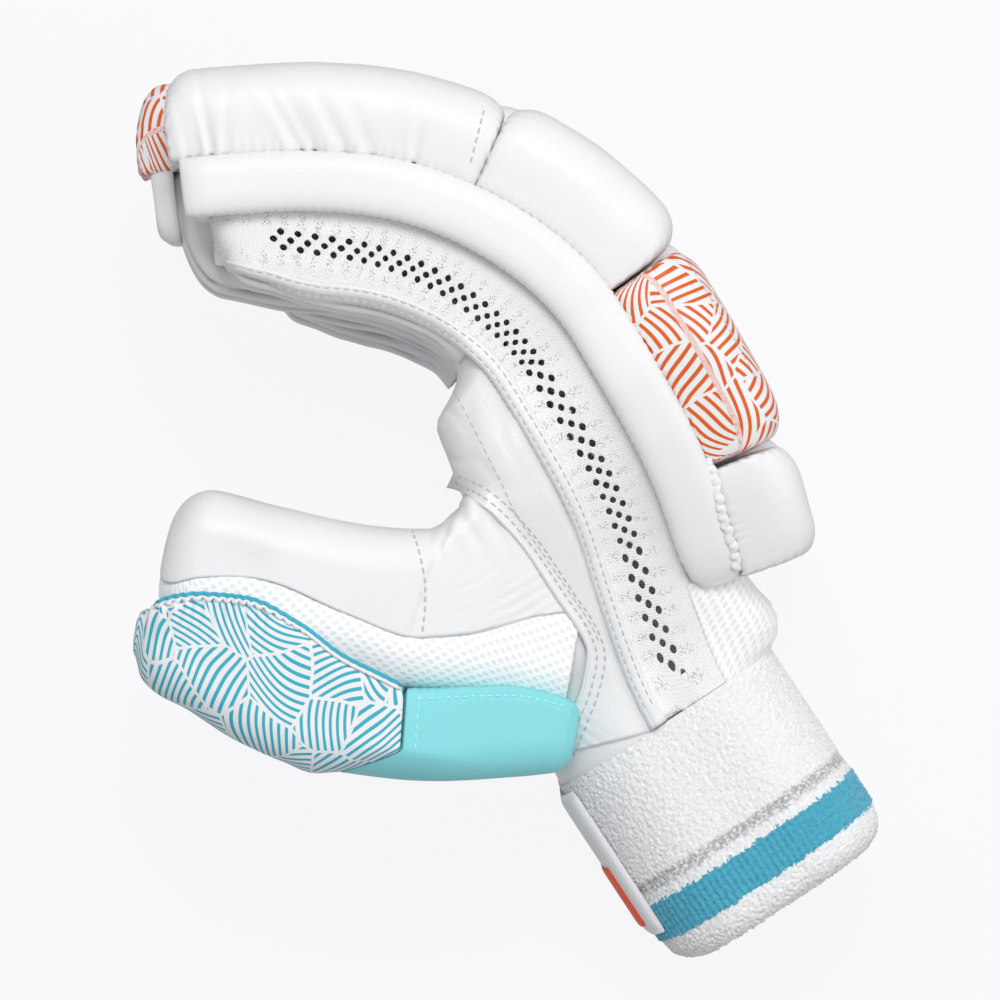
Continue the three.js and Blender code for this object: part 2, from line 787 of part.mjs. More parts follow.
function cuffSolid(column, first, past) {
  const rows = [{ y: first, by: column === 'inside' ? -CUFF_WALL : 0 }];
  for (const row of LIP_SECTIONS) {
    rows.push({ y: -CUFF_LENGTH + (1 - row.at) * CUFF_LIP, by: -row[column] * CUFF_WALL });
  }
  if (past > 0) {
    rows.push({ y: -CUFF_LENGTH - past, by: rows[rows.length - 1].by });
  }
  const rings = rows.reverse().map(({ y, by }) =>
    boxRing(grow(cuffBox(), by), CUFF_STEPS).map(({ n, z }) => handPoint(y, n, Math.max(z, 0))));
  return toSolid(loft(rings));
}

// A point of the cuff's ring, counted along one of its corners: corner 1 is the upper one of
// the palm side and corner 2 the lower one.
function cornerPoint(corner, step) {
  return corner * CUFF_STEPS + step;
}

// A band round part of the cuff's palm side, from one point of the cuff's ring to another.
function cuffBand(inner, outer, firstPoint, lastPoint, top, length) {
  const points = (by) => boxRing(grow(cuffBox(), by), CUFF_STEPS)
    .slice(firstPoint, lastPoint + 1)
    .map(({ n, z }) => new THREE.Vector2(CUFF_DEPTH / 2 + n, z));
  const shape = new THREE.Shape([...points(outer), ...points(inner).reverse()]);
  const band = new THREE.ExtrudeGeometry(shape, { depth: length, bevelEnabled: false });
  band.rotateX(Math.PI / 2);
  band.translate(0, top, 0);
  return band;
}

// The hump of airmesh behind the wrist.
function bellows() {
  const rings = BELLOWS_SECTIONS.map((row) => {
    const s = row.at * BELLOWS_LENGTH;
    const box = handBox(s);
    const low = lerp(box.low, box.high, BELLOWS_LOW);
    const high = lerp(box.low, box.high, BELLOWS_HIGH);
    const top = GAP + row.high * BELLOWS_THICKNESS;
    const arch = lerpList(0, 1, 9).map((share) => ({
      n: lerp(GAP, top, Math.pow(Math.sin(Math.PI * share), BELLOWS_ARCH)),
      z: lerp(low, high, share),
    }));
    return arch.map(({ n, z }) => handPoint(s, Math.max(n, GAP), z));
  });
  return loft(rings);
}

// A pad along the thumb: its section runs from the lapping edge to the outer face.
function thumbPad(table, cut) {
  const half = THUMB_DEPTH / 2;
  const rings = table.map((row) => {
    const t = row.at * THUMB_LENGTH;
    const reach = THUMB_WIDTH / 2 + THUMB_PAD_EDGE * (2 * row.side - 1);
    const box = {
      palm: row.edge * half,
      back: half + row.outer * THUMB_PAD_DEPTH,
      low: thumbCentre(t) - reach,
      high: thumbCentre(t) + reach,
      roundPalm: 2,
      roundBack: THUMB_PAD_ROUND,
    };
    const slope = row.lean * PAD_SPLIT_LEAN;
    return boxRing(box, 3)
      .map(({ n, z }) => thumbPoint(t + slope * (n - half), n, z))
      .reverse();
  });
  return cut.reduce((pad, tool) => pad.subtract(tool), toSolid(loft(rings)));
}

// The space on one side of a line along the thumb.
function thumbSide(by, towardsPads) {
  const rows = [-0.1, ...THUMB_SECTIONS.map((row) => row.at), 1.1];
  const rings = rows.map((at) => {
    const t = at * THUMB_LENGTH;
    const edge = valueAt(THUMB_SECTIONS, 'mesh', at) * THUMB_DEPTH / 2 + by;
    const far = towardsPads ? 2 * THUMB_DEPTH : -2 * THUMB_DEPTH;
    const palm = Math.min(edge, far);
    const back = Math.max(edge, far);
    const high = lanes.index.high + 3 * THUMB_WIDTH;
    return [
      thumbPoint(t, palm, 0), thumbPoint(t, palm, high),
      thumbPoint(t, back, high), thumbPoint(t, back, 0),
    ];
  });
  return toSolid(loft(rings));
}

// The space behind the seam of the back panel, over the hand's whole length and height.
function backSpace(seam) {
  const stations = lerpList(-2 * SLAB_OVERRUN, PALM_LENGTH + SLAB_OVERRUN, SLAB_STATIONS);
  const rings = stations.map((s) => [
    handPoint(s, SLAB_BACK, SLAB_LOW), handPoint(s, SLAB_BACK, SLAB_HIGH),
    handPoint(s, seam, SLAB_HIGH), handPoint(s, seam, SLAB_LOW),
  ]);
  return toSolid(loft(rings));
}

// Assembly

const handOuter = handSolid(0, GAP, PALM_LENGTH);
const handOuterGrown = handSolid(GAP, -1, PALM_LENGTH + GAP);
const handInner = handSolid(-LEATHER, -2, PALM_LENGTH - LEATHER, 3);
const fingerRoot = PALM_LENGTH - FINGER_OVERLAP;
const fingerInners = FINGERS.map((finger) => fingerSolid(finger, -LEATHER, fingerRoot));
const thumbOuter = thumbSolid(0, 0, 3);
const thumbGrown = thumbSolid(GAP, -1, 3);
const thumbInner = thumbSolid(-LEATHER, 1, 3);

let handShell = handOuter.subtract(handInner).subtract(thumbInner);
for (const inner of fingerInners) {
  handShell = handShell.subtract(inner);
}

const upperWindow = gussetStrip(index, 1, GAP, WINDOW_DEPTH);
const lowerWindow = gussetStrip(little, -1, GAP, WINDOW_DEPTH);
const palmShell = handShell
  .subtract(backSpace(-SEAM_INSET - GAP))
  .subtract(upperWindow)
  .subtract(lowerWindow);
addPiece('palm_leather', palmShell, PALM_HIDE);
addPiece('back_panel', handShell.intersect(backSpace(-SEAM_INSET)), WHITE_LEATHER);

for (const [place, finger] of FINGERS.entries()) {
  const outer = fingerSolid(finger, 0, PALM_LENGTH + GAP);
  let sheath = outer.subtract(fingerInners[place]);
  if (finger === index) {
    sheath = sheath.subtract(upperWindow);
  }
  if (finger === little) {
    sheath = sheath.subtract(lowerWindow);
  }
  addPiece(`${finger.name}_sheath`, sheath, PALM_HIDE);
}

addPiece('radial_gusset', gussetStrip(index, 1, 0, 0).subtract(gussetHoles()), WHITE_MESH);
addPiece('ulnar_gusset', gussetStrip(little, -1, 0, 0), WHITE_MESH);

const hemShape = (s) => {
  const near = gussetFar(index, s) - GAP;
  return { near, far: near - HEM_WIDTH, low: SEAT, high: HEM_THICKNESS };
};
const hemEnd = fingerReach(index) - HEM_TIP;
const hem = wallStrip(index, 1, GUSSET_START, hemEnd, hemShape).subtract(handOuterGrown);
addPiece('radial_hem', hem, PALM_HIDE);

const indexBar = sideBar(index, 1, INDEX_BAR_START, fingerReach(index) + TIP_GUARD);
const littleBar = sideBar(little, -1, LITTLE_BAR_START, fingerReach(little) + TIP_GUARD);
addPiece('index_side_bar', indexBar, WHITE_LEATHER);
addPiece('little_side_bar', littleBar, WHITE_LEATHER);

for (const finger of FINGERS) {
  addPiece(`${finger.name}_tip_guard`, tipGuard(finger), WHITE_LEATHER);
  for (const row of ROLLS) {
    addPiece(`${finger.name}_${row.name}_roll`, roll(finger, row), WHITE_LEATHER);
  }
}

addPiece('wrist_bellows', bellows(), WHITE_MESH);

const cuffOutside = cuffSolid('outside', -GAP, 0);
const cuffInside = cuffSolid('inside', CUFF_OVERRUN, CUFF_OVERRUN);
addPiece('cuff_band', cuffOutside.subtract(cuffInside), TOWELLING);

// The strap lies on the middle of the cuff's palm side, and the two panels meet at the end
// of its upper corner.
const strapLow = GAP;
const strapHigh = strapLow + STRAP_THICKNESS;
const strapStart = cornerPoint(1, 4);
const strapEnd = cornerPoint(2, 3);
const strap = cuffBand(strapLow, strapHigh, strapStart, strapEnd, -STRAP_SET_BACK, STRAP_WIDTH);
addPiece('wrist_strap', strap, WHITE_LEATHER);
const panel = (first, last) => {
  const low = strapHigh + GAP;
  const top = -STRAP_SET_BACK - LABEL_SET_BACK;
  return cuffBand(low, low + LABEL_THICKNESS, first, last, top, LABEL_LENGTH);
};
addPiece('strap_label_front', panel(cornerPoint(1, 5), cornerPoint(1, 6)), ORANGE);
addPiece('strap_label_back', panel(cornerPoint(1, 6), cornerPoint(2, 0)), BLACK);

const thumbShell = thumbOuter.subtract(thumbInner).subtract(handOuterGrown);
addPiece('thumb_leather', thumbShell.intersect(thumbSide(-GAP / 2, false)), WHITE_LEATHER);
addPiece('thumb_mesh', thumbShell.intersect(thumbSide(GAP / 2, true)), WHITE_MESH);
const padTools = [thumbGrown, handOuterGrown];
addPiece('thumb_tip_pad', thumbPad(TIP_PAD_SECTIONS, padTools), CYAN);
addPiece('thumb_base_pad', thumbPad(BASE_PAD_SECTIONS, padTools), CYAN);

// The origin is the middle of the glove's footprint, on the surface that it lies on.
const bounds = new THREE.Box3().setFromObject(glove);
const centre = bounds.getCenter(new THREE.Vector3());
glove.position.set(-centre.x, -centre.y, -bounds.min.z);

export default glove;
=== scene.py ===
# A right-hand cricket batting glove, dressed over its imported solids.
#
# Shapes are worked out in millimetres in the hand's frame, which starts at the middle of the
# wrist: +Z from the little finger to the thumb side, +Y from the cuff to the fingers and +X to
# the back of the hand. place_of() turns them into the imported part's metres.

import math

import bmesh
import bpy
import numpy as np
from bpy.props import FloatProperty, FloatVectorProperty, PointerProperty
from bpy.types import Operator, Panel, PropertyGroup
from mathutils import Matrix, Vector
from mathutils.bvhtree import BVHTree


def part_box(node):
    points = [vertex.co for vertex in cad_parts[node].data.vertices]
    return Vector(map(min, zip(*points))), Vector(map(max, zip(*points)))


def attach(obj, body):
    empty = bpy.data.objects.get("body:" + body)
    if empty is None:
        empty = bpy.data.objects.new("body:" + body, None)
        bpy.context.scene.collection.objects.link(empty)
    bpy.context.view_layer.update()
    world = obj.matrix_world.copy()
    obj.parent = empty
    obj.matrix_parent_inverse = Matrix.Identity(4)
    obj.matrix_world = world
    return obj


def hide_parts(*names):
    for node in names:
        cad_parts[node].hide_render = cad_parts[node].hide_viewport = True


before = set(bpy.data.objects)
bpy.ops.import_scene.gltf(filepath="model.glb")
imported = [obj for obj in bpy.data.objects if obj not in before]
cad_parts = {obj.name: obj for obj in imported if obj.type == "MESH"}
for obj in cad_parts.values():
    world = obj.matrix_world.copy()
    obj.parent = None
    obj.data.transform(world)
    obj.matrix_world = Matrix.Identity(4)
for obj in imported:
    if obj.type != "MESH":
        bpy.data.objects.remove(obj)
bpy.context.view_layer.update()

bl_info = {
    "name": "Batting glove",
    "version": (1, 0, 0),
    "blender": (4, 5, 0),
    "location": "3D View > Sidebar > Glove",
    "description": "Builds a padded batting glove over its plain solids",
    "category": "Add Mesh",
}

MM = 0.001
# More than any distance on the glove, in millimetres
FAR = 99

# Walls and clearances, in millimetres
LEATHER = 1.6
THIN_LEATHER = 1.3
KNIT_WALL = 1.1
GAP = 0.3

# Towelling cuff and strap
CUFF_LENGTH = 66
CUFF_DEPTH = 75
CUFF_WIDTH = 86
CUFF_WALL = 4
CUFF_ROUND = 27
CUFF_LIP = 11
CUFF_PRESS = 1.5
STRAP_WIDTH = 50
STRAP_SET_BACK = 3
STRAP_THICKNESS = 2.6
LABEL_LENGTH = 21
LABEL_SET_BACK = 25
LABEL_THICKNESS = 0.8
BLUE_STRIPE = (44.1, 55.9)
GREY_STRIPE = (37, 40.8)
GREY_MIDDLE = 38.8

# Hand and fingers
PALM_LENGTH = 140
WEB_DEPTH = 56
FINGER_LENGTH = 247
FINGER_DEPTH = 45
FINGER_WIDTH = 27
FINGER_GAP = 0.8
FINGER_ROUND_BACK = 7
FINGER_ROUND_PALM = 11
HAND_ROUND_PALM = 17
TIP_ROUND = 12

# Padding
ROLL_THICKNESS = 26
ROLL_END = 9
ROLL_OVERHANG = 6.5
SIDE_BAR_WIDTH = 17.5
SIDE_BAR_THICKNESS = 8.5
TIP_GUARD = 5
BELLOWS_THICKNESS = 6.5
BELLOWS_LENGTH = 18
BACK_PANEL_EDGE = 16.5

# Knit strips
GUSSET_WIDTH = 20.5
GUSSET_START = 3
GUSSET_TIP = 15
HEM_WIDTH = 5.5
HEM_THICKNESS = 3
HOLE_WIDTH = 2
HOLE_PITCH = 5.75
HOLE_ROW_STEP = 2.25
HOLE_STAGGER = 0.43
HOLE_SET_IN = 5

# Thumb
THUMB_LENGTH = 128
THUMB_DEPTH = 44
THUMB_WIDTH = 36
THUMB_ROUND = 13
THUMB_TURN = 46.2
THUMB_ROOT_IN = 41
THUMB_ROOT_UP = 32
THUMB_ROOT_DROP = 5
THUMB_TIP_LIFT = 10
THUMB_PAD_DEPTH = 31
THUMB_PAD_EDGE = 4
THUMB_PAD_ROUND = 12
STITCH_SET_IN = 2.6
PAD_SPLIT_LEAN = 0.36
PAD_SPLIT_TURN = 19
PAD_SPLIT_SWEEP = 1.9

# Turn of the back of the hand towards the palm, in degrees, along FINGER_LENGTH.
BACK_TURNS = {
    "at": (0, 0.05, 0.17, 0.31, 0.44, 0.56, 0.69, 0.81, 0.93, 1.01),
    "turn": (-6, -12.5, -16.5, -4, -1.4, 18.7, 34.8, 50.9, 60.6, 62.8),
}

# How far the hand has grown from the cuff's section to the fingers', along PALM_LENGTH.
HAND_SECTIONS = {
    "at": (0, 0.09, 0.18, 0.36, 0.54, 0.68, 0.87, 1),
    "spread": (0, 0.14, 0.3, 0.62, 0.88, 1, 1, 1),
    "flatten": (0, 0.05, 0.08, 0.18, 0.3, 0.44, 0.72, 1),
    "square": (0, 0.4, 0.7, 0.9, 1, 1, 1, 1),
}

# Depth of a finger as a share of FINGER_DEPTH, along the finger's whole length.
FINGER_SECTIONS = {
    "at": (0.58, 0.645, 0.72, 0.8, 0.87, 0.93, 1),
    "depth": (1.04, 1, 1, 1, 0.97, 0.89, 0.78),
}

# Fingers from the little finger up. Width, length and sink are shares of the named sizes, and
# blunt says how square the end of the tip roll is.
FINGERS = (
    {"name": "little", "wide": 0.93, "long": 0.955, "sink": 0.14, "blunt": 0.6},
    {"name": "ring", "wide": 0.965, "long": 0.99, "sink": 0.05, "blunt": 0.6},
    {"name": "middle", "wide": 1, "long": 1.045, "sink": 0, "blunt": 0.55},
    {"name": "index", "wide": 1, "long": 1, "sink": 0, "blunt": 1},
)

# Rolls along a finger, from and to as shares of its length, high as a share of
# ROLL_THICKNESS. foot and head say how full the two ends are.
ROLLS = (
    {"name": "wrist", "from": 0.097, "to": 0.226, "high": 0.94, "foot": 0.74, "head": 0.8},
    {"name": "knuckle", "from": 0.235, "to": 0.463, "high": 0.98, "foot": 0.74, "head": 0.8},
    {"name": "mid", "from": 0.469, "to": 0.669, "high": 1.08, "foot": 0.66, "head": 0.8},
    {"name": "tip", "from": 0.673, "to": 1.033, "high": 1.01, "foot": 0.82, "head": 0.6},
)

# Where the middle column of holes runs in the knit strip, along FINGER_LENGTH.
HOLE_LINE = {
    "at": (0.04, 0.3, 0.53, 0.7, 0.9),
    "across": (0.57, 0.6, 0.66, 0.57, 0.44),
}

# How the ends of a side bar draw in and thin out, along the bar.
BAR_ENDS = {
    "at": (0, 0.008, 0.02, 0.045, 0.08, 0.14, 0.97, 0.99, 1),
    "in": (0.36, 0.24, 0.13, 0.05, 0.015, 0, 0, 0.01, 0.03),
    "high": (0.4, 0.58, 0.74, 0.9, 0.97, 1, 1, 0.93, 0.8),
}

# The cuff's lower end, along CUFF_LIP: how far the outside and the inside draw in.
LIP_SECTIONS = {
    "at": (0, 0.45, 0.78, 1),
    "outside": (0, 0.2, 0.8, 1.9),
    "inside": (1, 1.2, 1.55, 2.2),
}

# The thumb along THUMB_LENGTH: rise from the wrist's height to the index finger's, and as
# shares of half THUMB_DEPTH its leather side, its pad side and where the mesh begins.
THUMB_SECTIONS = {
    "at": (0, 0.15, 0.29, 0.36, 0.42, 0.57, 0.77, 0.905, 1),
    "rise": (0, 0.3, 0.6, 0.71, 0.8, 0.93, 1, 1, 1),
    "leather": (1, 1.3, 1.9, 1.5, 1.03, 0.92, 0.95, 1, 0.98),
    "pads": (1, 1, 1.04, 1.08, 1.1, 1.02, 0.97, 1, 0.95),
    "mesh": (-0.4, -0.15, 0.22, 0.33, 0.4, 0.24, 0, 0.12, 0.42),
}

# The pads' outline along THUMB_LENGTH: outer face as a share of THUMB_PAD_DEPTH, and the edge
# that laps over the thumb as a share of half THUMB_DEPTH. lean is how much of PAD_SPLIT_LEAN
# the section has, and side is the share of the lap over the thumb's sides.
TIP_PAD_SECTIONS = {
    "at": (0.41, 0.47, 0.56, 0.665, 0.79, 0.89, 0.955, 0.995, 1.02),
    "outer": (0.95, 1, 0.99, 0.93, 0.78, 0.61, 0.53, 0.42, 0.22),
    "edge": (1.08, 0.97, 0.81, 0.51, 0.3, 0.35, 0.46, 0.6, 0.72),
    "lean": (1, 0.8, 0.3, 0, 0, 0, 0, 0, 0),
    "side": (0.9, 1, 1, 1, 1, 1, 0.9, 0.6, 0),
}
BASE_PAD_SECTIONS = {
    "at": (0.012, 0.035, 0.08, 0.14, 0.26, 0.35, 0.405),
    "outer": (0.52, 0.63, 0.69, 0.75, 0.87, 0.94, 0.95),
    "edge": (1.0, 0.9, 0.84, 0.82, 0.92, 1.03, 1.08),
    "lean": (0, 0, 0, 0.05, 0.3, 0.75, 1),
    "side": (0.7, 0.95, 1, 1, 1, 1, 0.9),
}

# Gathers in the leather of the index finger's tip roll, where the side bar is sewn to it:
# place along the finger, slant, length up the roll, width and depth, in millimetres.
TIP_PLEATS = (
    {"along": 249.0, "slant": 0.1, "long": 9, "wide": 1.3, "deep": 0.9},
    {"along": 246.0, "slant": 0.1, "long": 10, "wide": 1.3, "deep": 1.0},
    {"along": 242.6, "slant": 0.1, "long": 11, "wide": 1.4, "deep": 1.0},
    {"along": 238.6, "slant": -0.1, "long": 8, "wide": 1.4, "deep": 0.6},
    {"along": 217.5, "slant": 0.5, "long": 10, "wide": 1.9, "deep": 0.7},
    {"along": 213.5, "slant": 0.5, "long": 9, "wide": 1.8, "deep": 0.55},
    {"along": 204.5, "slant": 0.55, "long": 9, "wide": 2.0, "deep": 0.6},
    {"along": 197.0, "slant": 0.5, "long": 8, "wide": 2.2, "deep": 0.5},
    {"along": 184.5, "slant": 0.1, "long": 9, "wide": 1.3, "deep": 0.6},
)


def curve_of(table, column):
    """A smooth curve through one column of a table that never overshoots its rows."""
    x = np.array(table["at"], float)
    y = np.array(table[column], float)
    h = np.diff(x)
    slope = np.diff(y) / h
    tangent = np.zeros_like(y)
    for i in range(1, len(x) - 1):
        if slope[i - 1] * slope[i] > 0:
            before = 2 * h[i] + h[i - 1]
            after = h[i] + 2 * h[i - 1]
            tangent[i] = (before + after) / (before / slope[i - 1] + after / slope[i])
    tangent[0] = slope[0]
    tangent[-1] = slope[-1]

    def value(at):
        at = np.clip(np.asarray(at, float), x[0], x[-1])
        i = np.clip(np.searchsorted(x, at) - 1, 0, len(x) - 2)
        t = (at - x[i]) / h[i]
        a = (1 + 2 * t) * (1 - t) ** 2
        b = t * (1 - t) ** 2
        c = t * t * (3 - 2 * t)
        d = t * t * (t - 1)
        return a * y[i] + b * h[i] * tangent[i] + c * y[i + 1] + d * h[i] * tangent[i + 1]

    return value


def curves_of(table):
    return {name: curve_of(table, name) for name in table if name != "at"}


HAND = curves_of(HAND_SECTIONS)
FINGER = curves_of(FINGER_SECTIONS)
THUMB = curves_of(THUMB_SECTIONS)
TIP_PAD = curves_of(TIP_PAD_SECTIONS)
BASE_PAD = curves_of(BASE_PAD_SECTIONS)
BAR = curves_of(BAR_ENDS)
LIP = curves_of(LIP_SECTIONS)
HOLES = curves_of(HOLE_LINE)


def lerp(a, b, share):
    return a + (b - a) * share


def ease(at, start, stop):
    """0 before start, 1 after stop, and smooth between."""
    share = np.clip((np.asarray(at, float) - start) / (stop - start), 0, 1)
    return share * share * (3 - 2 * share)


def trace_back():
    """Places along the back of the hand, one each half millimetre: s, x, y and turn."""
    step = 0.5
    s = np.arange(0, 1.35 * FINGER_LENGTH, step)
    turn = np.radians(np.interp(s / FINGER_LENGTH, BACK_TURNS["at"], BACK_TURNS["turn"]))
    x = CUFF_DEPTH / 2 - step * np.concatenate([[0], np.cumsum(np.sin(turn))[:-1]])
    y = step * np.concatenate([[0], np.cumsum(np.cos(turn))[:-1]])
    return s, x, y, turn


BACK_S, BACK_X, BACK_Y, BACK_TURN = trace_back()


def hand_point(s, n, z):
    """A point of the hand or a finger, in millimetres. The inputs may be arrays."""
    s, n, z = np.broadcast_arrays(*(np.asarray(v, float) for v in (s, n, z)))
    inside = np.clip(s, 0, BACK_S[-1])
    turn = np.interp(inside, BACK_S, BACK_TURN) * np.clip(s / 8, 0, 1)
    x = np.interp(inside, BACK_S, BACK_X) + n * np.cos(turn)
    y = np.interp(inside, BACK_S, BACK_Y) + n * np.sin(turn) + np.minimum(s, 0)
    return np.stack([x, y, z], axis=-1)


def thumb_point(t, n, z):
    """A point of the thumb: t along it from its root, n towards its pads."""
    t, n, z = np.broadcast_arrays(*(np.asarray(v, float) for v in (t, n, z)))
    turn = math.radians(THUMB_TURN)
    x = CUFF_DEPTH / 2 - THUMB_ROOT_IN - t * math.sin(turn) - n * math.cos(turn)
    y = THUMB_ROOT_UP + t * math.cos(turn) - n * math.sin(turn)
    return np.stack([x, y, z], axis=-1)


def finger_lanes():
    lanes = {}
    low = SIDE_BAR_THICKNESS + GAP
    for finger in FINGERS:
        high = low + FINGER_WIDTH * finger["wide"]
        lanes[finger["name"]] = (low, high)
        low = high + FINGER_GAP
    return lanes


LANES = finger_lanes()
HAND_LOW = LANES["little"][0]
HAND_HIGH = LANES["index"][1]
WRIST_HIGH = CUFF_WIDTH - CUFF_PRESS
LITTLE = FINGERS[0]
INDEX = FINGERS[-1]


def hand_box(s):
    at = np.asarray(s, float) / PALM_LENGTH
    spread = HAND["spread"](at)
    square = HAND["square"](at)
    return {
        "palm": -lerp(CUFF_DEPTH, WEB_DEPTH, HAND["flatten"](at)),
        "back": 0 * at,
        "low": spread * HAND_LOW,
        "high": lerp(WRIST_HIGH, HAND_HIGH, spread),
        "round_palm": lerp(CUFF_ROUND, HAND_ROUND_PALM, square),
        "round_back": lerp(CUFF_ROUND, FINGER_ROUND_BACK, square),
    }


def reach_of(finger):
    return FINGER_LENGTH * finger["long"]


def sink_at(finger, s):
    """How far the finger's back has sunk below the index finger's."""
    return finger["sink"] * FINGER_DEPTH * ease(s, 0.8 * PALM_LENGTH, PALM_LENGTH)


def finger_box(finger, s):
    s = np.asarray(s, float)
    sink = finger["sink"] * FINGER_DEPTH
    low, high = LANES[finger["name"]]
    return {
        "palm": -sink - FINGER_DEPTH * FINGER["depth"](s / reach_of(finger)),
        "back": -sink + 0 * s,
        "low": low + 0 * s,
        "high": high + 0 * s,
        "round_palm": FINGER_ROUND_PALM + 0 * s,
        "round_back": FINGER_ROUND_BACK + 0 * s,
    }


def wall_box(finger, s):
    """The hand's section up to the fingers, and then the finger's, eased into each other."""
    hand = hand_box(s)
    beyond = finger_box(finger, s)
    share = ease(s, PALM_LENGTH - 6, PALM_LENGTH + 6)
    return {key: lerp(hand[key], beyond[key], share) for key in hand}


def tip_box(finger, s):
    """The section up to the very tip, where it closes."""
    box = wall_box(finger, s)
    sine = np.clip((s - reach_of(finger) + TIP_ROUND) / TIP_ROUND, 0, 0.999)
    left = np.sqrt(1 - sine * sine) ** 0.62
    middle = (box["low"] + box["high"]) / 2
    box["palm"] = lerp(box["back"], box["palm"], 0.12 + 0.88 * left)
    box["low"] = lerp(middle, box["low"], left)
    box["high"] = lerp(middle, box["high"], left)
    return box


def lane_at(finger, s):
    """Where a finger's lane begins and ends across the hand, also where the hand narrows."""
    box = hand_box(s)
    low, high = LANES[finger["name"]]
    size = (box["high"] - box["low"]) / (HAND_HIGH - HAND_LOW)
    return box["low"] + (low - HAND_LOW) * size, box["low"] + (high - HAND_LOW) * size


def wall_high(box, n):
    """Height of the upper wall of a section at n."""
    palm_in = np.maximum(0, box["palm"] + box["round_palm"] - n)
    back_in = np.maximum(0, n - (box["back"] - box["round_back"]))
    radius = np.where(palm_in > 0, box["round_palm"], box["round_back"])
    over = np.minimum(radius, palm_in + back_in)
    return box["high"] - radius + np.sqrt(np.maximum(radius * radius - over * over, 0))


def grow(box, by):
    return {
        "palm": box["palm"] - by,
        "back": box["back"] + by,
        "low": box["low"] - by,
        "high": box["high"] + by,
        "round_palm": np.maximum(0.5, box["round_palm"] + by),
        "round_back": np.maximum(0.5, box["round_back"] + by),
    }


def box_row(box, index):
    return {key: float(np.ravel(value)[index]) for key, value in box.items()}


# Points on each corner of a dense ring, which has one more at its start and one at its end
CORNER_POINTS = 25


def dense_ring(box):
    """One section's outline from the middle of its back, up and round: n, z and arc length."""
    room = 0.49 * min(box["back"] - box["palm"], box["high"] - box["low"])
    palm = min(box["round_palm"], room)
    back = min(box["round_back"], room)
    middle = (box["high"] + box["low"]) / 2
    corners = (
        (box["back"] - back, box["high"] - back, back, 0),
        (box["palm"] + palm, box["high"] - palm, palm, 90),
        (box["palm"] + palm, box["low"] + palm, palm, 180),
        (box["back"] - back, box["low"] + back, back, 270),
    )
    n = [box["back"]]
    z = [middle]
    for corner_n, corner_z, radius, start in corners:
        angle = np.radians(start + np.linspace(0, 90, CORNER_POINTS))
        n.extend(corner_n + radius * np.cos(angle))
        z.extend(corner_z + radius * np.sin(angle))
    n.append(box["back"])
    z.append(middle)
    n = np.array(n)
    z = np.array(z)
    arc = np.concatenate([[0], np.cumsum(np.hypot(np.diff(n), np.diff(z)))])
    return n, z, arc


def ring_spots(ring, upper, lower, count, through):
    """Points of a section between n on its upper wall and n on its lower wall, going round by
    the palm or by the back."""
    n, z, arc = ring
    half = 1 + 2 * CORNER_POINTS
    start = np.interp(-upper, -n[1:half], arc[1:half])
    stop = np.interp(lower, n[half:], arc[half:])
    if through == "back":
        start, stop = stop, arc[-1] + start
    at = np.linspace(start, stop, count)
    wrapped = np.mod(at, arc[-1])
    return np.interp(wrapped, arc, n), np.interp(wrapped, arc, z), at - start


def ring_whole(ring, count):
    n, z, arc = ring
    at = np.linspace(0, arc[-1], count, endpoint=False)
    return np.interp(at, arc, n), np.interp(at, arc, z), at


# Smooth noise


def lattice_value(ix, iy, iz, seed):
    """A number from -1 to 1 for each whole-number place."""
    mixed = (ix * 73856093) ^ (iy * 19349663) ^ (iz * 83492791) ^ (seed * 2654435761)
    mixed = (mixed ^ (mixed >> 13)) * 1274126177
    mixed = mixed ^ (mixed >> 16)
    return (mixed & 0xFFFF) / 32767.5 - 1


def noise(points, cell, seed):
    """Smooth noise from -1 to 1 whose lumps are about cell millimetres wide."""
    scaled = np.asarray(points, float) / cell
    whole = np.floor(scaled).astype(np.int64)
    part = scaled - whole
    part = part * part * (3 - 2 * part)
    total = 0
    for corner in range(8):
        dx, dy, dz = corner & 1, (corner >> 1) & 1, corner >> 2
        weight = (
            (part[..., 0] if dx else 1 - part[..., 0])
            * (part[..., 1] if dy else 1 - part[..., 1])
            * (part[..., 2] if dz else 1 - part[..., 2])
        )
        total = total + weight * lattice_value(
            whole[..., 0] + dx, whole[..., 1] + dy, whole[..., 2] + dz, seed
        )
    return total


def lumps(points, seed, *layers):
    """Layers of smooth noise, each given by its height and the width of its lumps, in
    millimetres. Their seeds count up."""
    return sum(high * noise(points, cell, seed + i) for i, (high, cell) in enumerate(layers))


def ripple(at, pitch, wander=0.0):
    """Waves from -1 to 1 that are pitch millimetres long, moved along by wander."""
    return np.sin(at * 2 * math.pi / pitch + wander)


def bell(away, width):
    """1 in the middle, and nearly 0 from twice the width on."""
    return np.exp(-(away / width) ** 2)


def by_edge(away, width):
    """1 at an edge, and nearly 0 from four widths on."""
    return np.exp(-np.clip(away, 0, FAR) / width)


# Meshes

OFFSET = np.zeros(3)
built = {}


def set_offset():
    """The wrist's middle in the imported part, read from the cuff's box."""
    low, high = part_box("cuff_band")
    OFFSET[0] = (low.x + high.x) / 2 / MM
    OFFSET[1] = low.y / MM + CUFF_LENGTH
    OFFSET[2] = 0


def place_of(points):
    return (np.asarray(points, float) + OFFSET) * MM


def unit(vectors):
    """Vectors made one long."""
    return vectors / np.maximum(np.linalg.norm(vectors, axis=-1, keepdims=True), 1e-9)


def run_length(points):
    """How far along a line each of its points lies."""
    return np.concatenate([[0], np.cumsum(np.linalg.norm(np.diff(points, axis=0), axis=1))])


def uv_grid(u, v):
    return np.stack(np.broadcast_arrays(u, v), axis=-1)


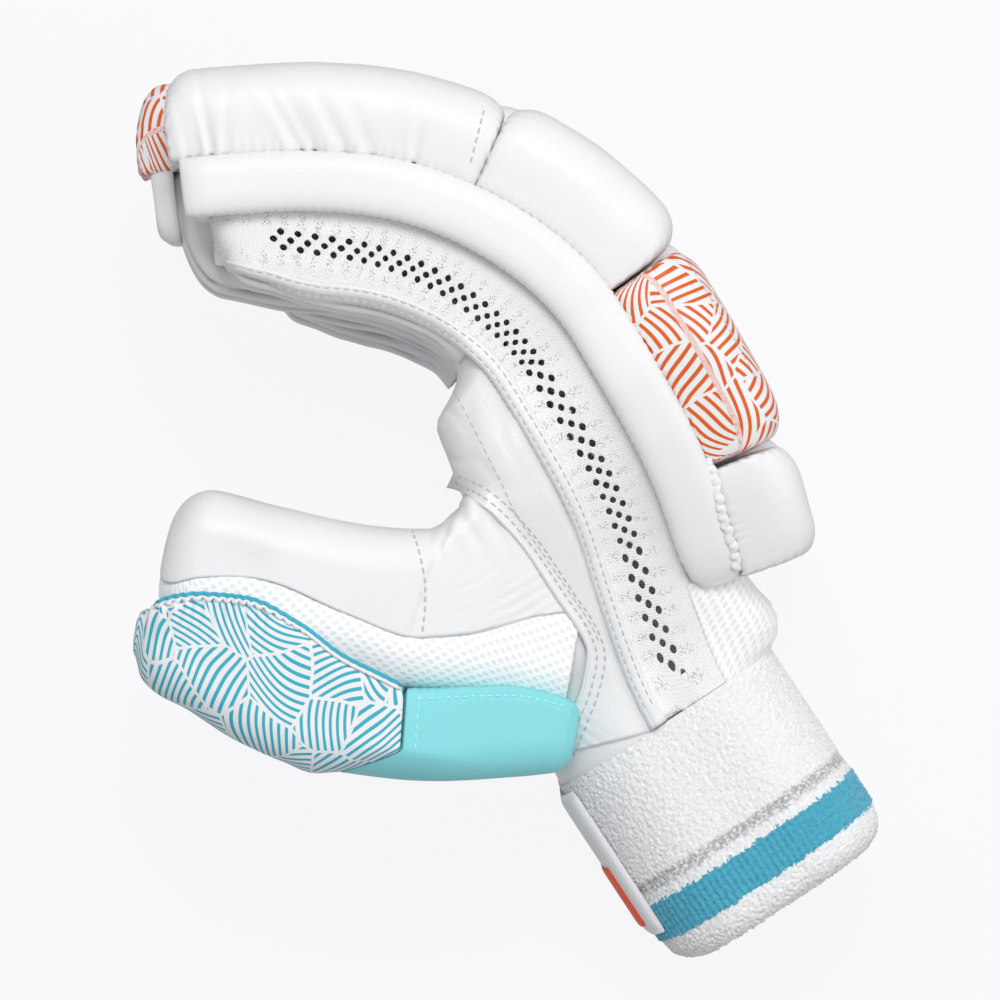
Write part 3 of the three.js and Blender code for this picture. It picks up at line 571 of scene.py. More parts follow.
def normals_of(points, wrap):
    """Unit normals of a grid of points."""
    if wrap:
        across = np.roll(points, -1, axis=1) - np.roll(points, 1, axis=1)
    else:
        across = np.gradient(points, axis=1)
    along = np.gradient(points, axis=0)
    return unit(np.cross(along, across))


def outward_sign(points, normal, toward):
    if toward is None:
        centre = points.mean(axis=1, keepdims=True)
        return 1.0 if (normal * (points - centre)).sum() > 0 else -1.0
    return 1.0 if (normal * np.asarray(toward, float)).sum() > 0 else -1.0


def push(points, amount, wrap=False, toward=None):
    """The grid moved out along its normals."""
    normal = normals_of(points, wrap)
    sign = outward_sign(points, normal, toward)
    return points + sign * normal * np.asarray(amount, float)[..., None]


def mesh_object(name, vertices, faces, material, uv=None):
    mesh = bpy.data.meshes.new(name)
    mesh.from_pydata([tuple(v) for v in vertices], [], faces)
    if uv is not None:
        layer = mesh.uv_layers.new(name="UVMap")
        loops = np.zeros(len(mesh.loops), np.int32)
        mesh.loops.foreach_get("vertex_index", loops)
        layer.data.foreach_set("uv", np.asarray(uv, np.float32)[loops].ravel())
    mesh.polygons.foreach_set("use_smooth", np.ones(len(mesh.polygons), bool))
    mesh.materials.append(material)
    mesh.update()
    piece = bpy.data.objects.new(name, mesh)
    bpy.context.scene.collection.objects.link(piece)
    return piece


def grid_faces(rows, columns, wrap, flip):
    last = columns if wrap else columns - 1
    row, column = np.meshgrid(np.arange(rows - 1), np.arange(last), indexing="ij")
    a = row * columns + column
    b = row * columns + (column + 1) % columns
    quads = np.stack([a, b, b + columns, a + columns], axis=-1).reshape(-1, 4)
    if flip:
        quads = quads[:, ::-1]
    return quads.tolist()


def thicken(piece, wall):
    thick = piece.modifiers.new("Wall", "SOLIDIFY")
    thick.thickness = wall * MM
    thick.offset = -1


def surface(name, points, material, wrap=False, caps=False, toward=None, uv=None, wall=0.0,
            joined=False):
    """A mesh over a grid of points. caps closes its two ends and joined sews them together."""
    rows, columns = points.shape[:2]
    normal = normals_of(points, wrap)
    # the quads run across and then along, which faces against along x across
    flip = outward_sign(points, normal, toward) > 0
    faces = grid_faces(rows, columns, wrap, flip)
    first = list(range(columns))
    last = [(rows - 1) * columns + i for i in first]
    if caps:
        faces.append(first if flip else first[::-1])
        faces.append(last[::-1] if flip else last)
    if joined:
        for i in first:
            after = (i + 1) % columns
            seam = (last[i], last[after], after, i)
            faces.append(seam[::-1] if flip else seam)
    vertices = place_of(points.reshape(-1, 3))
    flat_uv = None if uv is None else np.asarray(uv, float).reshape(-1, 2)
    piece = mesh_object(name, vertices, faces, material, flat_uv)
    if wall:
        thicken(piece, wall)
    return piece


def finish_piece(piece, nodes=()):
    """Ties a piece to the root, and hides the CAD nodes that it stands for."""
    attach(piece, "root")
    if nodes:
        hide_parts(*nodes)
    built[piece.name] = piece
    return piece


# Materials

LEATHER_ROUGHNESS = 0.46
# Half the soft edge of a printed line, and the pitch and half size of the spacer mesh's
# dimples across and down, in millimetres
PRINT_SOFT = 0.07
DIMPLE_PITCH = (3.1, 3.6)
DIMPLE_HALF = (0.78, 1.02)
# Colours of the black panel and of the pin-pricks, which are small holes painted near black as the
# shade inside them
PRICK_SHADE = (0.06, 0.06, 0.065)
BLACK = (0.015, 0.015, 0.016)


class Shader:
    """A material and short calls that add nodes to it."""

    def __init__(self, name, colour, roughness, sheen=0.0, specular=0.5):
        self.material = bpy.data.materials.new(name)
        self.material.use_nodes = True
        self.tree = self.material.node_tree
        self.body = self.tree.nodes["Principled BSDF"]
        self.body.inputs["Base Color"].default_value = (*colour, 1)
        self.body.inputs["Roughness"].default_value = roughness
        self.body.inputs["Sheen Weight"].default_value = sheen
        self.body.inputs["Sheen Roughness"].default_value = 0.4
        self.body.inputs["Specular IOR Level"].default_value = specular
        self.material.diffuse_color = (*colour, 1)

    def add(self, kind, settings=None, **inputs):
        node = self.tree.nodes.new(kind)
        for key, value in (settings or {}).items():
            setattr(node, key, value)
        for key, value in inputs.items():
            self.feed(node.inputs[key.replace("_", " ")], value)
        return node

    def feed(self, socket, value):
        if isinstance(value, bpy.types.NodeSocket):
            self.tree.links.new(value, socket)
        else:
            socket.default_value = value

    def math(self, operation, *values):
        node = self.tree.nodes.new("ShaderNodeMath")
        node.operation = operation
        for socket, value in zip(node.inputs, values):
            self.feed(socket, value)
        return node.outputs[0]

    def vector(self, operation, *values):
        node = self.add("ShaderNodeVectorMath", {"operation": operation})
        for socket, value in zip(node.inputs, values):
            self.feed(socket, value)
        return node.outputs["Value" if operation == "LENGTH" else "Vector"]

    def scaled(self, vector, by):
        node = self.add("ShaderNodeVectorMath", {"operation": "SCALE"}, Scale=by)
        self.feed(node.inputs[0], vector)
        return node.outputs["Vector"]

    def in_cell(self, value, shift=0.5):
        """How far a value is past the middle of its cell, from -0.5 to 0.5."""
        return self.math("SUBTRACT", self.math("FRACT", self.math("ADD", value, shift)), 0.5)

    def distance(self, across, wide, down, high):
        """Distance from a cell's middle, where the cell is wide by high."""
        squares = (
            self.math("POWER", self.math("MULTIPLY", value, size), 2.0)
            for value, size in ((across, wide), (down, high))
        )
        return self.math("SQRT", self.math("ADD", *squares))

    def smooth(self, value, low, high):
        node = self.add("ShaderNodeMapRange", {"interpolation_type": "SMOOTHSTEP"})
        self.feed(node.inputs["Value"], value)
        self.feed(node.inputs["From Min"], low)
        self.feed(node.inputs["From Max"], high)
        return node.outputs["Result"]

    def millimetres(self):
        """The place on the glove in millimetres."""
        return self.scaled(self.add("ShaderNodeTexCoord").outputs["Object"], 1 / MM)

    def uv(self):
        """The UV as a vector, and its two columns."""
        uv = self.add("ShaderNodeUVMap", {"uv_map": "UVMap"}).outputs["UV"]
        split = self.add("ShaderNodeSeparateXYZ", Vector=uv)
        return uv, split.outputs[0], split.outputs[1]

    def noise(self, vector, per_mm, detail=2.0):
        node = self.add("ShaderNodeTexNoise", Scale=per_mm, Detail=detail, Vector=vector)
        return node.outputs["Fac"]

    def voronoi(self, vector, per_mm, feature="F1"):
        node = self.add(
            "ShaderNodeTexVoronoi", {"feature": feature}, Scale=per_mm, Vector=vector)
        return node.outputs["Distance"]

    def mix(self, share, first, second):
        node = self.add("ShaderNodeMix", {"data_type": "RGBA"})
        self.feed(node.inputs[0], share)
        self.feed(node.inputs[6], first)
        self.feed(node.inputs[7], second)
        return node.outputs[2]

    def bump(self, height, millimetres, strength):
        node = self.add(
            "ShaderNodeBump", Strength=strength, Distance=millimetres * MM, Height=height)
        return node.outputs["Normal"]

    def finish(self, colour=None, roughness=None, normal=None):
        if colour is not None:
            self.tree.links.new(colour, self.body.inputs["Base Color"])
        if roughness is not None:
            self.tree.links.new(roughness, self.body.inputs["Roughness"])
        if normal is not None:
            self.tree.links.new(normal, self.body.inputs["Normal"])
        return self.material


def shade_of(colour, share):
    return tuple(c * share for c in colour)


def leather_nodes(shader, colour, grain):
    """Leather grain and faint clouding over a colour."""
    place = shader.millimetres()
    pebble = shader.voronoi(place, 1.35, "SMOOTH_F1")
    fine = shader.noise(place, 1.1, 3.0)
    cloud = shader.noise(place, 0.045, 2.0)
    height = shader.math("ADD", shader.math("MULTIPLY", pebble, 0.5), fine)
    normal = shader.bump(height, 0.09 * grain, 0.6)
    toned = shader.mix(
        shader.math("MULTIPLY", cloud, 0.5), (*colour, 1), (*shade_of(colour, 0.93), 1))
    rough = shader.math("ADD", 0.36, shader.math("MULTIPLY", fine, 0.22))
    return toned, rough, normal


def leather(name, colour, grain=1.0, fold_shade=False):
    """Leather. Where fold shade is asked for, the UV's first column is how deep the point lies in
    a fold, and the leather is painted darker there as shade.
    """
    shader = Shader(name, colour, LEATHER_ROUGHNESS, specular=0.42)
    toned, rough, normal = leather_nodes(shader, colour, grain)
    if fold_shade:
        # painted shade: the deeper the point lies in a fold, the darker the leather is painted
        _, deep, _ = shader.uv()
        toned = shader.mix(deep, toned, (*shade_of(colour, 0.3), 1))
    return shader.finish(toned, rough, normal)


def hatched_leather(name, ground, ink, cell, pitch, width):
    """Leather with a print of arcs, in patches that each turn and bow their own way. cell is a
    patch's width, and pitch and width are the lines', in millimetres."""
    shader = Shader(name, ground, LEATHER_ROUGHNESS, specular=0.3)
    uv, _, _ = shader.uv()
    # a slow warp bends the patches and their lines
    warp = shader.add("ShaderNodeTexNoise", Scale=0.05, Detail=0.0, Vector=uv)
    bent = shader.vector("ADD", uv, shader.scaled(warp.outputs["Color"], 6.0))
    patch, edge = (
        shader.add(
            "ShaderNodeTexVoronoi", {"feature": feature, "voronoi_dimensions": "2D"},
            Scale=1 / cell, Vector=bent)
        for feature in ("F1", "DISTANCE_TO_EDGE")
    )
    tone = shader.add("ShaderNodeSeparateColor", Color=patch.outputs["Color"])
    angle = shader.math("MULTIPLY", tone.outputs[0], math.pi)
    # each patch's lines are arcs round a point that lies near it or far from it
    bow = shader.math("ADD", 0.9 * cell, shader.math("MULTIPLY", tone.outputs[1], 5.0 * cell))
    aside = shader.add(
        "ShaderNodeCombineXYZ",
        X=shader.math("MULTIPLY", bow, shader.math("COSINE", angle)),
        Y=shader.math("MULTIPLY", bow, shader.math("SINE", angle)))
    local = shader.vector("SUBTRACT", bent, patch.outputs["Position"])
    across = shader.vector("LENGTH", shader.vector("ADD", local, aside.outputs[0]))
    wave = shader.math("PINGPONG", across, pitch / 2)
    line = shader.smooth(wave, width / 2 + PRINT_SOFT, width / 2 - PRINT_SOFT)
    inside = shader.smooth(edge.outputs["Distance"], 0.3 / cell, 0.5 / cell)
    toned, rough, normal = leather_nodes(shader, ground, 1.0)
    inked = shader.mix(shader.math("MULTIPLY", line, inside), toned, (*ink, 1))
    return shader.finish(inked, rough, normal)


def airmesh(name, colour):
    """Spacer mesh: a close lattice of soft oval dimples, painted darker as the shade in their
    hollows. U and V are millimetres.
    """
    shader = Shader(name, colour, 0.85, sheen=0.3)
    _, u, v = shader.uv()
    hollows = []
    for shift in (0.0, 0.5):
        across = shader.in_cell(shader.math("DIVIDE", u, DIMPLE_PITCH[0]), shift)
        down = shader.in_cell(shader.math("DIVIDE", v, DIMPLE_PITCH[1]), shift)
        far = shader.distance(across, DIMPLE_PITCH[0] / DIMPLE_HALF[0],
                              down, DIMPLE_PITCH[1] / DIMPLE_HALF[1])
        hollows.append(shader.smooth(far, 1.2, 0.5))
    dimples = shader.math("MAXIMUM", *hollows)
    place = shader.millimetres()
    yarn = shader.noise(place, 2.4, 2.0)
    height = shader.math("SUBTRACT", shader.math("MULTIPLY", yarn, 0.22), dimples)
    normal = shader.bump(height, 0.2, 0.5)
    # painted shade: the dimples are painted darker than the mesh round them
    toned = shader.mix(dimples, (*colour, 1), (*shade_of(colour, 0.84), 1))
    return shader.finish(toned, None, normal)


def perforated_knit(name, colour):
    """Warp knit, with pin-pricks painted near black as the shade inside these small holes. U
    counts the columns of holes and V the rows of holes.
    """
    shader = Shader(name, colour, 0.85, sheen=0.25)
    _, u, v = shader.uv()
    far = shader.distance(
        shader.in_cell(u), HOLE_ROW_STEP, shader.in_cell(v), 0.75 * HOLE_PITCH)
    cluster = shader.smooth(far, 1.35, 0.9)
    column = shader.math("ABSOLUTE", u)
    outer = shader.smooth(column, 1.5, 1.6)
    fade = shader.smooth(column, 4.6, 2.2)
    place = shader.millimetres()
    specks = shader.smooth(shader.voronoi(place, 1.75), 0.4, 0.2)
    pricks = shader.math("MULTIPLY", shader.math("MULTIPLY", cluster, outer), specks)
    pricks = shader.math("MULTIPLY", pricks, fade)
    rib = shader.math("SINE", shader.math("MULTIPLY", u, 2 * math.pi * 2.5))
    stitch = shader.math("SINE", shader.math("MULTIPLY", v, 2 * math.pi * 7.0))
    yarn = shader.noise(place, 2.0, 2.0)
    height = shader.math("ADD", shader.math("MULTIPLY", shader.math("MULTIPLY", rib, stitch), 0.5),
                         shader.math("MULTIPLY", yarn, 0.9))
    height = shader.math("SUBTRACT", height, shader.math("MULTIPLY", pricks, 1.4))
    normal = shader.bump(height, 0.26, 0.8)
    # painted shade: the pin-pricks are painted near black
    toned = shader.mix(shader.math("MULTIPLY", pricks, 0.55), (*colour, 1), (*PRICK_SHADE, 1))
    return shader.finish(toned, None, normal)


def towelling(name, colours):
    """Terry loops with a grey and a blue stripe, and painted shade in the pits between the loops.
    V is millimetres from the cuff's top.
    """
    white, grey, blue = colours
    shader = Shader(name, white, 0.95, sheen=0.5)
    place = shader.millimetres()
    _, _, v = shader.uv()
    ragged = shader.noise(place, 0.75, 1.0)
    at = shader.math("ADD", v, shader.math("MULTIPLY", shader.math("SUBTRACT", ragged, 0.5), 3.2))
    blue_share = shader.math(
        "MULTIPLY",
        shader.smooth(at, BLUE_STRIPE[0] - 0.2, BLUE_STRIPE[0] + 0.3),
        shader.smooth(at, BLUE_STRIPE[1] + 0.4, BLUE_STRIPE[1] - 0.1))
    grey_share = shader.math(
        "MULTIPLY",
        shader.smooth(at, GREY_STRIPE[0] - 0.8, GREY_STRIPE[0] + 0.8),
        shader.smooth(at, GREY_STRIPE[1] + 0.8, GREY_STRIPE[1] - 0.8))
    loops = shader.voronoi(place, 1.05)
    fine = shader.noise(place, 2.2, 2.0)
    height = shader.math("ADD", shader.math("MULTIPLY", loops, -1.0),
                         shader.math("MULTIPLY", fine, 0.5))
    normal = shader.bump(height, 0.4, 0.6)
    # painted shade: the pits between the loops are painted darker, in white or in blue
    pit_shade = shader.smooth(loops, 0.35, 0.85)
    specks = shader.noise(place, 0.95, 1.0)
    mottled = shader.math("MULTIPLY", grey_share, shader.smooth(specks, 0.34, 0.52))
    base = shader.mix(mottled, (*white, 1), (*grey, 1))
    base = shader.mix(blue_share, base, (*blue, 1))
    pit_shade_colour = shader.mix(blue_share, (*shade_of(white, 0.86), 1), (*shade_of(blue, 0.62), 1))
    toned = shader.mix(shader.math("MULTIPLY", pit_shade, 0.45), base, pit_shade_colour)
    return shader.finish(toned, None, normal)


def thread(name, colour):
    shader = Shader(name, colour, 0.6, sheen=0.2)
    twist = shader.noise(shader.millimetres(), 5.0, 1.0)
    return shader.finish(None, None, shader.bump(twist, 0.06, 0.6))


def panel_plastic(name, colour):
    shader = Shader(name, colour, 0.42)
    grain = shader.noise(shader.millimetres(), 3.0)
    rough = shader.math("ADD", 0.34, shader.math("MULTIPLY", grain, 0.16))
    return shader.finish(None, rough, shader.bump(grain, 0.03, 0.5))


# Sizes and colours that a user would change


class GloveSizes(PropertyGroup):
    plump: FloatProperty(
        name="Roll fullness", description="How far the leather of the rolls swells",
        default=0.0006, min=0, max=0.003, unit="LENGTH")
    crease: FloatProperty(
        name="Crease depth", description="Depth of the gathers and creases in the leather",
        default=1.0, min=0, max=3, subtype="FACTOR")
    loop: FloatProperty(
        name="Loop height", description="Height of the towelling's loops",
        default=0.00055, min=0, max=0.003, unit="LENGTH")
    stitch: FloatProperty(
        name="Stitch length", description="Length of one stitch",
        default=0.0021, min=0.0008, max=0.006, unit="LENGTH")
    thread: FloatProperty(
        name="Thread thickness", description="Thickness of the sewing thread",
        default=0.0005, min=0.0001, max=0.002, unit="LENGTH")


class GloveColours(PropertyGroup):
    white: FloatVectorProperty(
        name="White leather", description="Leather of the rolls, the bars and the thumb",
        default=(0.82, 0.82, 0.825), size=3, min=0, max=1, subtype="COLOR")
    hide: FloatVectorProperty(
        name="Palm hide", description="Leather of the palm and the fingers",
        default=(0.82, 0.82, 0.825), size=3, min=0, max=1, subtype="COLOR")
    knit: FloatVectorProperty(
        name="Knit", description="Knit strips and spacer mesh",
        default=(0.93, 0.93, 0.935), size=3, min=0, max=1, subtype="COLOR")
    orange: FloatVectorProperty(
        name="Orange print", description="Lines printed on the rolls",
        default=(0.7, 0.105, 0.008), size=3, min=0, max=1, subtype="COLOR")
    cyan: FloatVectorProperty(
        name="Blue print", description="Lines printed on the thumb pad",
        default=(0.035, 0.4, 0.53), size=3, min=0, max=1, subtype="COLOR")
    pad: FloatVectorProperty(
        name="Pad leather", description="Leather at the thumb's base",
        default=(0.24, 0.7, 0.735), size=3, min=0, max=1, subtype="COLOR")
    towel: FloatVectorProperty(
        name="Towelling", description="Cuff", default=(0.86, 0.86, 0.865), size=3,
        min=0, max=1, subtype="COLOR")
    towel_grey: FloatVectorProperty(
        name="Grey stripe", description="Thin stripe on the cuff",
        default=(0.42, 0.42, 0.42), size=3, min=0, max=1, subtype="COLOR")
    towel_blue: FloatVectorProperty(
        name="Blue stripe", description="Broad stripe on the cuff",
        default=(0.075, 0.41, 0.56), size=3, min=0, max=1, subtype="COLOR")
    label: FloatVectorProperty(
        name="Label", description="Front panel on the strap",
        default=(0.8, 0.065, 0.005), size=3, min=0, max=1, subtype="COLOR")


finishes = {}


def make_finishes(colours):
    white = tuple(colours.white)
    hide = tuple(colours.hide)
    knit = tuple(colours.knit)
    pad = tuple(colours.pad)
    finishes["white"] = leather("White leather", white)
    finishes["hide"] = leather("Palm hide", hide, 1.5)
    # the palm hide again, with painted shade in the valleys of its folds
    finishes["folds"] = leather("Hide with painted fold shade", hide, 1.5, fold_shade=True)
    finishes["pad"] = leather("Pad leather", pad)
    finishes["orange"] = hatched_leather(
        "Orange hatch", white, tuple(colours.orange), cell=15.5, pitch=2.6, width=1.05)
    finishes["cyan"] = hatched_leather(
        "Blue hatch", white, tuple(colours.cyan), cell=14.5, pitch=2.15, width=0.9)
    finishes["airmesh"] = airmesh("Spacer mesh", tuple(min(1, 1.04 * c) for c in knit))
    finishes["knit"] = perforated_knit("Perforated knit", knit)
    finishes["towel"] = towelling("Towelling", (
        tuple(colours.towel), tuple(colours.towel_grey), tuple(colours.towel_blue)))
    # painted shade: the white thread is coloured grey for the shade of the stitches and their
    # needle holes
    finishes["thread"] = thread("Thread painted grey as stitch shade", shade_of(white, 0.66))
    finishes["pad_thread"] = thread("Pad thread", tuple(min(1, 1.35 * c) for c in pad))
    finishes["piping"] = leather("Piping", tuple(colours.cyan))
    finishes["label"] = panel_plastic("Orange panel", tuple(colours.label))
    finishes["black"] = panel_plastic("Black panel", BLACK)


# Stage

# The camera looks straight down on AIM. Its turn puts the cuff at the lower right. AIM and
# CAMERA_HEIGHT are in millimetres, from the wrist's middle and the floor.
AIM = (-5.5, 81.3)
CAMERA_HEIGHT = 1362
CAMERA_LENS = 156
CAMERA_UP = (0.55048, 0.83485)
BACKDROP = (0.885, 0.885, 0.902)


class GLOVE_OT_stage(Operator):
    """Sets the floor, the lights, the camera and the finishes."""

    bl_idname = "glove.stage"
    bl_label = "Stage"

    def execute(self, context):
        set_offset()
        make_finishes(context.scene.glove_colours)
        self.floor()
        self.lights(context)
        self.camera(context)
        return {"FINISHED"}

    def floor(self):
        bm = bmesh.new()
        bmesh.ops.create_grid(bm, x_segments=2, y_segments=2, size=3.0)
        mesh = bpy.data.meshes.new("floor")
        bm.to_mesh(mesh)
        bm.free()
        piece = bpy.data.objects.new("floor", mesh)
        bpy.context.scene.collection.objects.link(piece)
        shader = Shader("Pale floor", (0.07, 0.07, 0.07), 0.9, specular=0.0)
        shader.body.inputs["Emission Color"].default_value = (*BACKDROP, 1)
        shader.body.inputs["Emission Strength"].default_value = 1.0
        mesh.materials.append(shader.material)
        piece.location.z = -0.0005
        # the bright floor is a backdrop, and doesn't light the glove from below
        piece.visible_diffuse = False
        piece.visible_glossy = False

    def lights(self, context):
        world = bpy.data.worlds.new("studio")
        context.scene.world = world
        world.use_nodes = True
        sky = world.node_tree.nodes["Background"]
        sky.inputs["Color"].default_value = (0.97, 0.98, 1.0, 1)
        sky.inputs["Strength"].default_value = 0.5
        middle = Vector(place_of((*AIM, 60)))
        # up and to the right in the picture
        up = Vector((0.55, 0.835, 0))
        side = Vector((0.835, -0.55, 0))
        lamps = (
            {"name": "key", "up": 0.8, "side": 0.05, "high": 1.8, "size": 0.8, "power": 19.5},
            {"name": "fill", "up": 0.05, "side": 1.15, "high": 0.85, "size": 1.0, "power": 4.7},
        )
        for lamp in lamps:
            data = bpy.data.lights.new(lamp["name"], "AREA")
            data.shape = "DISK"
            data.size = lamp["size"]
            data.energy = lamp["power"]
            light = bpy.data.objects.new(lamp["name"], data)
            context.scene.collection.objects.link(light)
            light.location = middle + up * lamp["up"] + side * lamp["side"]
            light.location.z = lamp["high"]
            light.rotation_mode = "QUATERNION"
            light.rotation_quaternion = (middle - light.location).to_track_quat("-Z", "Y")
        context.scene.view_settings.view_transform = "Standard"
        context.scene.view_settings.look = "None"

    def camera(self, context):
        """Straight down on the thumb side, turned so that the cuff is at the lower right."""
        data = bpy.data.cameras.new("camera")
        data.sensor_width = 36
        data.lens = CAMERA_LENS
        data.clip_start = 0.05
        data.clip_end = 20
        camera = bpy.data.objects.new("camera", data)
        context.scene.collection.objects.link(camera)
        back = Vector((0, 0, 1))
        up = Vector((*CAMERA_UP, 0)).normalized()
        right = up.cross(back)
        turn = Matrix((right, up, back)).transposed()
        camera.matrix_world = (
            Matrix.Translation(Vector(place_of((*AIM, CAMERA_HEIGHT)))) @ turn.to_4x4()
        )
        context.scene.camera = camera


# Rolls


def superellipse(angle, power):
    """A round outline that gets squarer with power. 2 is a circle."""
    c = np.cos(angle)
    s = np.sin(angle)
    return (
        np.sign(c) * np.abs(c) ** (2 / power),
        np.sign(s) * np.abs(s) ** (2 / power),
    )


def roll_profile(count):
    """The section of a roll: across from -1 to 1, and up from 0 to 1."""
    angle = np.linspace(0, math.pi, count)
    across, up = superellipse(angle, 2.5)
    up = 0.5 + 0.5 * up
    side = np.linspace(0.5, 0.06, 8)[1:]
    tuck = 1 - 0.05 * ((0.5 - side) / 0.5) ** 2
    foot = np.linspace(-0.9, 0.9, 12)
    across = np.concatenate([across, -tuck, foot, tuck[::-1]])
    up = np.concatenate([up, side, np.zeros(12), side[::-1]])
    return across, up


def roll_stations(start, stop, foot, head, rows):
    """Places along a roll and how full its section is there, closed at both ends."""
    bend = np.linspace(0, math.pi / 2, 10)
    closing = np.array([0.03, 0.3, 0.6, 0.82, 0.95])
    s = list(start - 0.6 + 0.75 * closing ** 4)
    full = list(foot * closing)
    s.extend(start + 0.15 + ROLL_END * (1 - np.cos(bend)))
    full.extend(foot + (1 - foot) * np.sin(bend))
    inner = np.linspace(start + ROLL_END, stop - ROLL_END, rows)[1:-1]
    s.extend(inner + 0.15 * (1 - 2 * (inner - start) / (stop - start)))
    full.extend(np.ones(len(inner)))
    s.extend(stop - 0.15 - ROLL_END * (1 - np.sin(bend)))
    full.extend(head + (1 - head) * np.cos(bend))
    s.extend((stop + 0.6 - 0.75 * closing ** 4)[::-1])
    full.extend((head * closing)[::-1])
    return np.array(s), np.array(full)


def roll_grid(finger, row, sizes):
    reach = reach_of(finger)
    start = row["from"] * reach
    stop = row["to"] * reach
    high = row["high"] * ROLL_THICKNESS
    upper = ROLL_OVERHANG if finger is INDEX else 0
    lower = ROLL_OVERHANG if finger is LITTLE else 0
    tip = row["name"] == "tip"
    head = row["head"] * (finger["blunt"] if tip else 1)
    # the index finger's rolls face the camera and are the finest
    rows = int(max(24, (stop - start) / (0.9 if finger is INDEX else 1.6)))
    s, full = roll_stations(start, stop, row["foot"], head, rows)
    shape = np.maximum(full, min(row["foot"], head))
    lane_low, lane_high = lane_at(finger, s)
    inset = (1 - shape) * 5
    low = np.maximum(lane_low - lower + inset, 0) + FINGER_GAP / 4
    wide = lane_high + upper - inset - FINGER_GAP / 4 - low
    base = -0.7 - sink_at(finger, s) * tip
    top = high * shape - 0.5 * sink_at(finger, s)
    across, up = roll_profile(46 if finger is INDEX else 30)
    # the end faces close on a point of the section's middle
    shrink = full / shape
    centre_n = base + 0.45 * (top - base)
    n = base[:, None] + up[None, :] * (top - base)[:, None]
    n = centre_n[:, None] + (n - centre_n[:, None]) * shrink[:, None]
    z = low[:, None] + wide[:, None] * (0.5 + 0.5 * across[None, :] * shrink[:, None])
    points = hand_point(s[:, None], n, z)
    girth = np.linalg.norm(np.diff(points, axis=1, append=points[:, :1]), axis=2)
    around = np.concatenate([np.zeros((len(s), 1)), np.cumsum(girth, axis=1)[:, :-1]], axis=1)
    # the print runs on over the ends
    over = 0.45 * high * (1 - shrink) * np.where(s < (start + stop) / 2, -1, 1)
    uv = uv_grid((s + over)[:, None], around)
    seed = 11 * ROLLS.index(row) + 3 * FINGERS.index(finger)
    from_end = np.minimum(s - start, stop - s)
    pucker = 0.32 * by_edge(from_end, 2.2)[:, None] * ripple(
        around, 3.4, 2 * noise(points, 5, seed + 2))
    gather = 0.3 * by_edge(n - base[:, None], 1.8) * ripple(
        s[:, None], 2.9, 3 * noise(points, 8, seed + 3))
    swell = sizes.plump / MM * np.clip(from_end / ROLL_END, 0, 1)[:, None] * np.sin(
        math.pi * np.clip(up, 0, 1)) ** 2
    amount = lumps(points, seed, (0.28, 17), (0.1, 6)) + sizes.crease * (pucker + gather) + swell
    if finger is INDEX and tip:
        for pleat in TIP_PLEATS:
            line = pleat["along"] + pleat["slant"] * n
            away = (s[:, None] - line) / pleat["wide"]
            shown = by_edge(n, pleat["long"]) * ease(z, 105, 112)
            fold = bell(away, 1) - 0.55 * bell(away - 1.5, 1)
            amount = amount - 1.5 * sizes.crease * pleat["deep"] * shown * fold
    inside = (full >= shape - 1e-6)[:, None]
    points = push(points, np.where(inside, amount, 0.3 * amount), wrap=True)
    return points, uv


class GLOVE_OT_rolls(Operator):
    """Builds the four padded rolls on the back of each finger."""

    bl_idname = "glove.rolls"
    bl_label = "Finger rolls"

    def execute(self, context):
        sizes = context.scene.glove_sizes
        prints = {("index", "knuckle"): "orange", ("middle", "tip"): "orange"}
        for finger in FINGERS:
            for row in ROLLS:
                look = prints.get((finger["name"], row["name"]), "white")
                node = f"{finger['name']}_{row['name']}_roll"
                points, uv = roll_grid(finger, row, sizes)
                points[..., 2] = np.maximum(points[..., 2], 0.05)
                piece = surface(
                    node + "_cover", points, finishes[look], wrap=True, caps=True, uv=uv)
                finish_piece(piece, [node])
        return {"FINISHED"}


# Side bars


def with_ends(values, centre, closing):
    """Rows of n or z, with rows added at both ends that draw in to the centre."""
    first = [lerp(centre[0], values[0], share) for share in closing]
    last = [lerp(centre[-1], values[-1], share) for share in closing[::-1]]
    return np.vstack([*first, values, *last])


def bar_grid(finger, side, start, stop):
    # a row each millimetre, and finer ones where the first end draws in
    share = np.linspace(0, 1, int(stop - start))
    share = np.concatenate([np.linspace(0, share[3], 9)[:-1], share[3:]])
    s = start + share * (stop - start)
    near = -0.2 - sink_at(finger, s)
    box = wall_box(finger, np.minimum(s, reach_of(finger)))
    draw = BAR["in"](share) * SIDE_BAR_WIDTH
    high = BAR["high"](share) * SIDE_BAR_THICKNESS
    palm = near + 0.2 - SIDE_BAR_WIDTH + draw * 0.8
    back = near - draw * 0.2
    if side > 0:
        base = box["high"] + 0.35
        top = box["high"] + high
    else:
        base = box["low"] - 0.35
        top = np.minimum(box["low"] - high, box["low"] - 1.5)
        top = np.maximum(top, 0.05)
    across, up = superellipse(np.linspace(0, math.pi, 40), 3.0)
    under = np.linspace(-0.97, 0.97, 12)
    across = np.concatenate([across, under])
    rise = np.concatenate([np.minimum(0.42 + 0.58 * up, 1), 0 * under])
    middle = (palm + back) / 2
    half = (back - palm) / 2
    n = middle[:, None] + half[:, None] * across[None, :]
    z = base[:, None] + (top - base)[:, None] * rise[None, :]
    closing = np.array([0.04, 0.45, 0.85])
    n = with_ends(n, middle, closing)
    z = with_ends(z, (base + top) / 2, closing)
    s = np.concatenate([s[0] - 1.2 * (1 - closing ** 2), s, s[-1] + 0.4 * (1 - closing[::-1])])
    return s, n, z


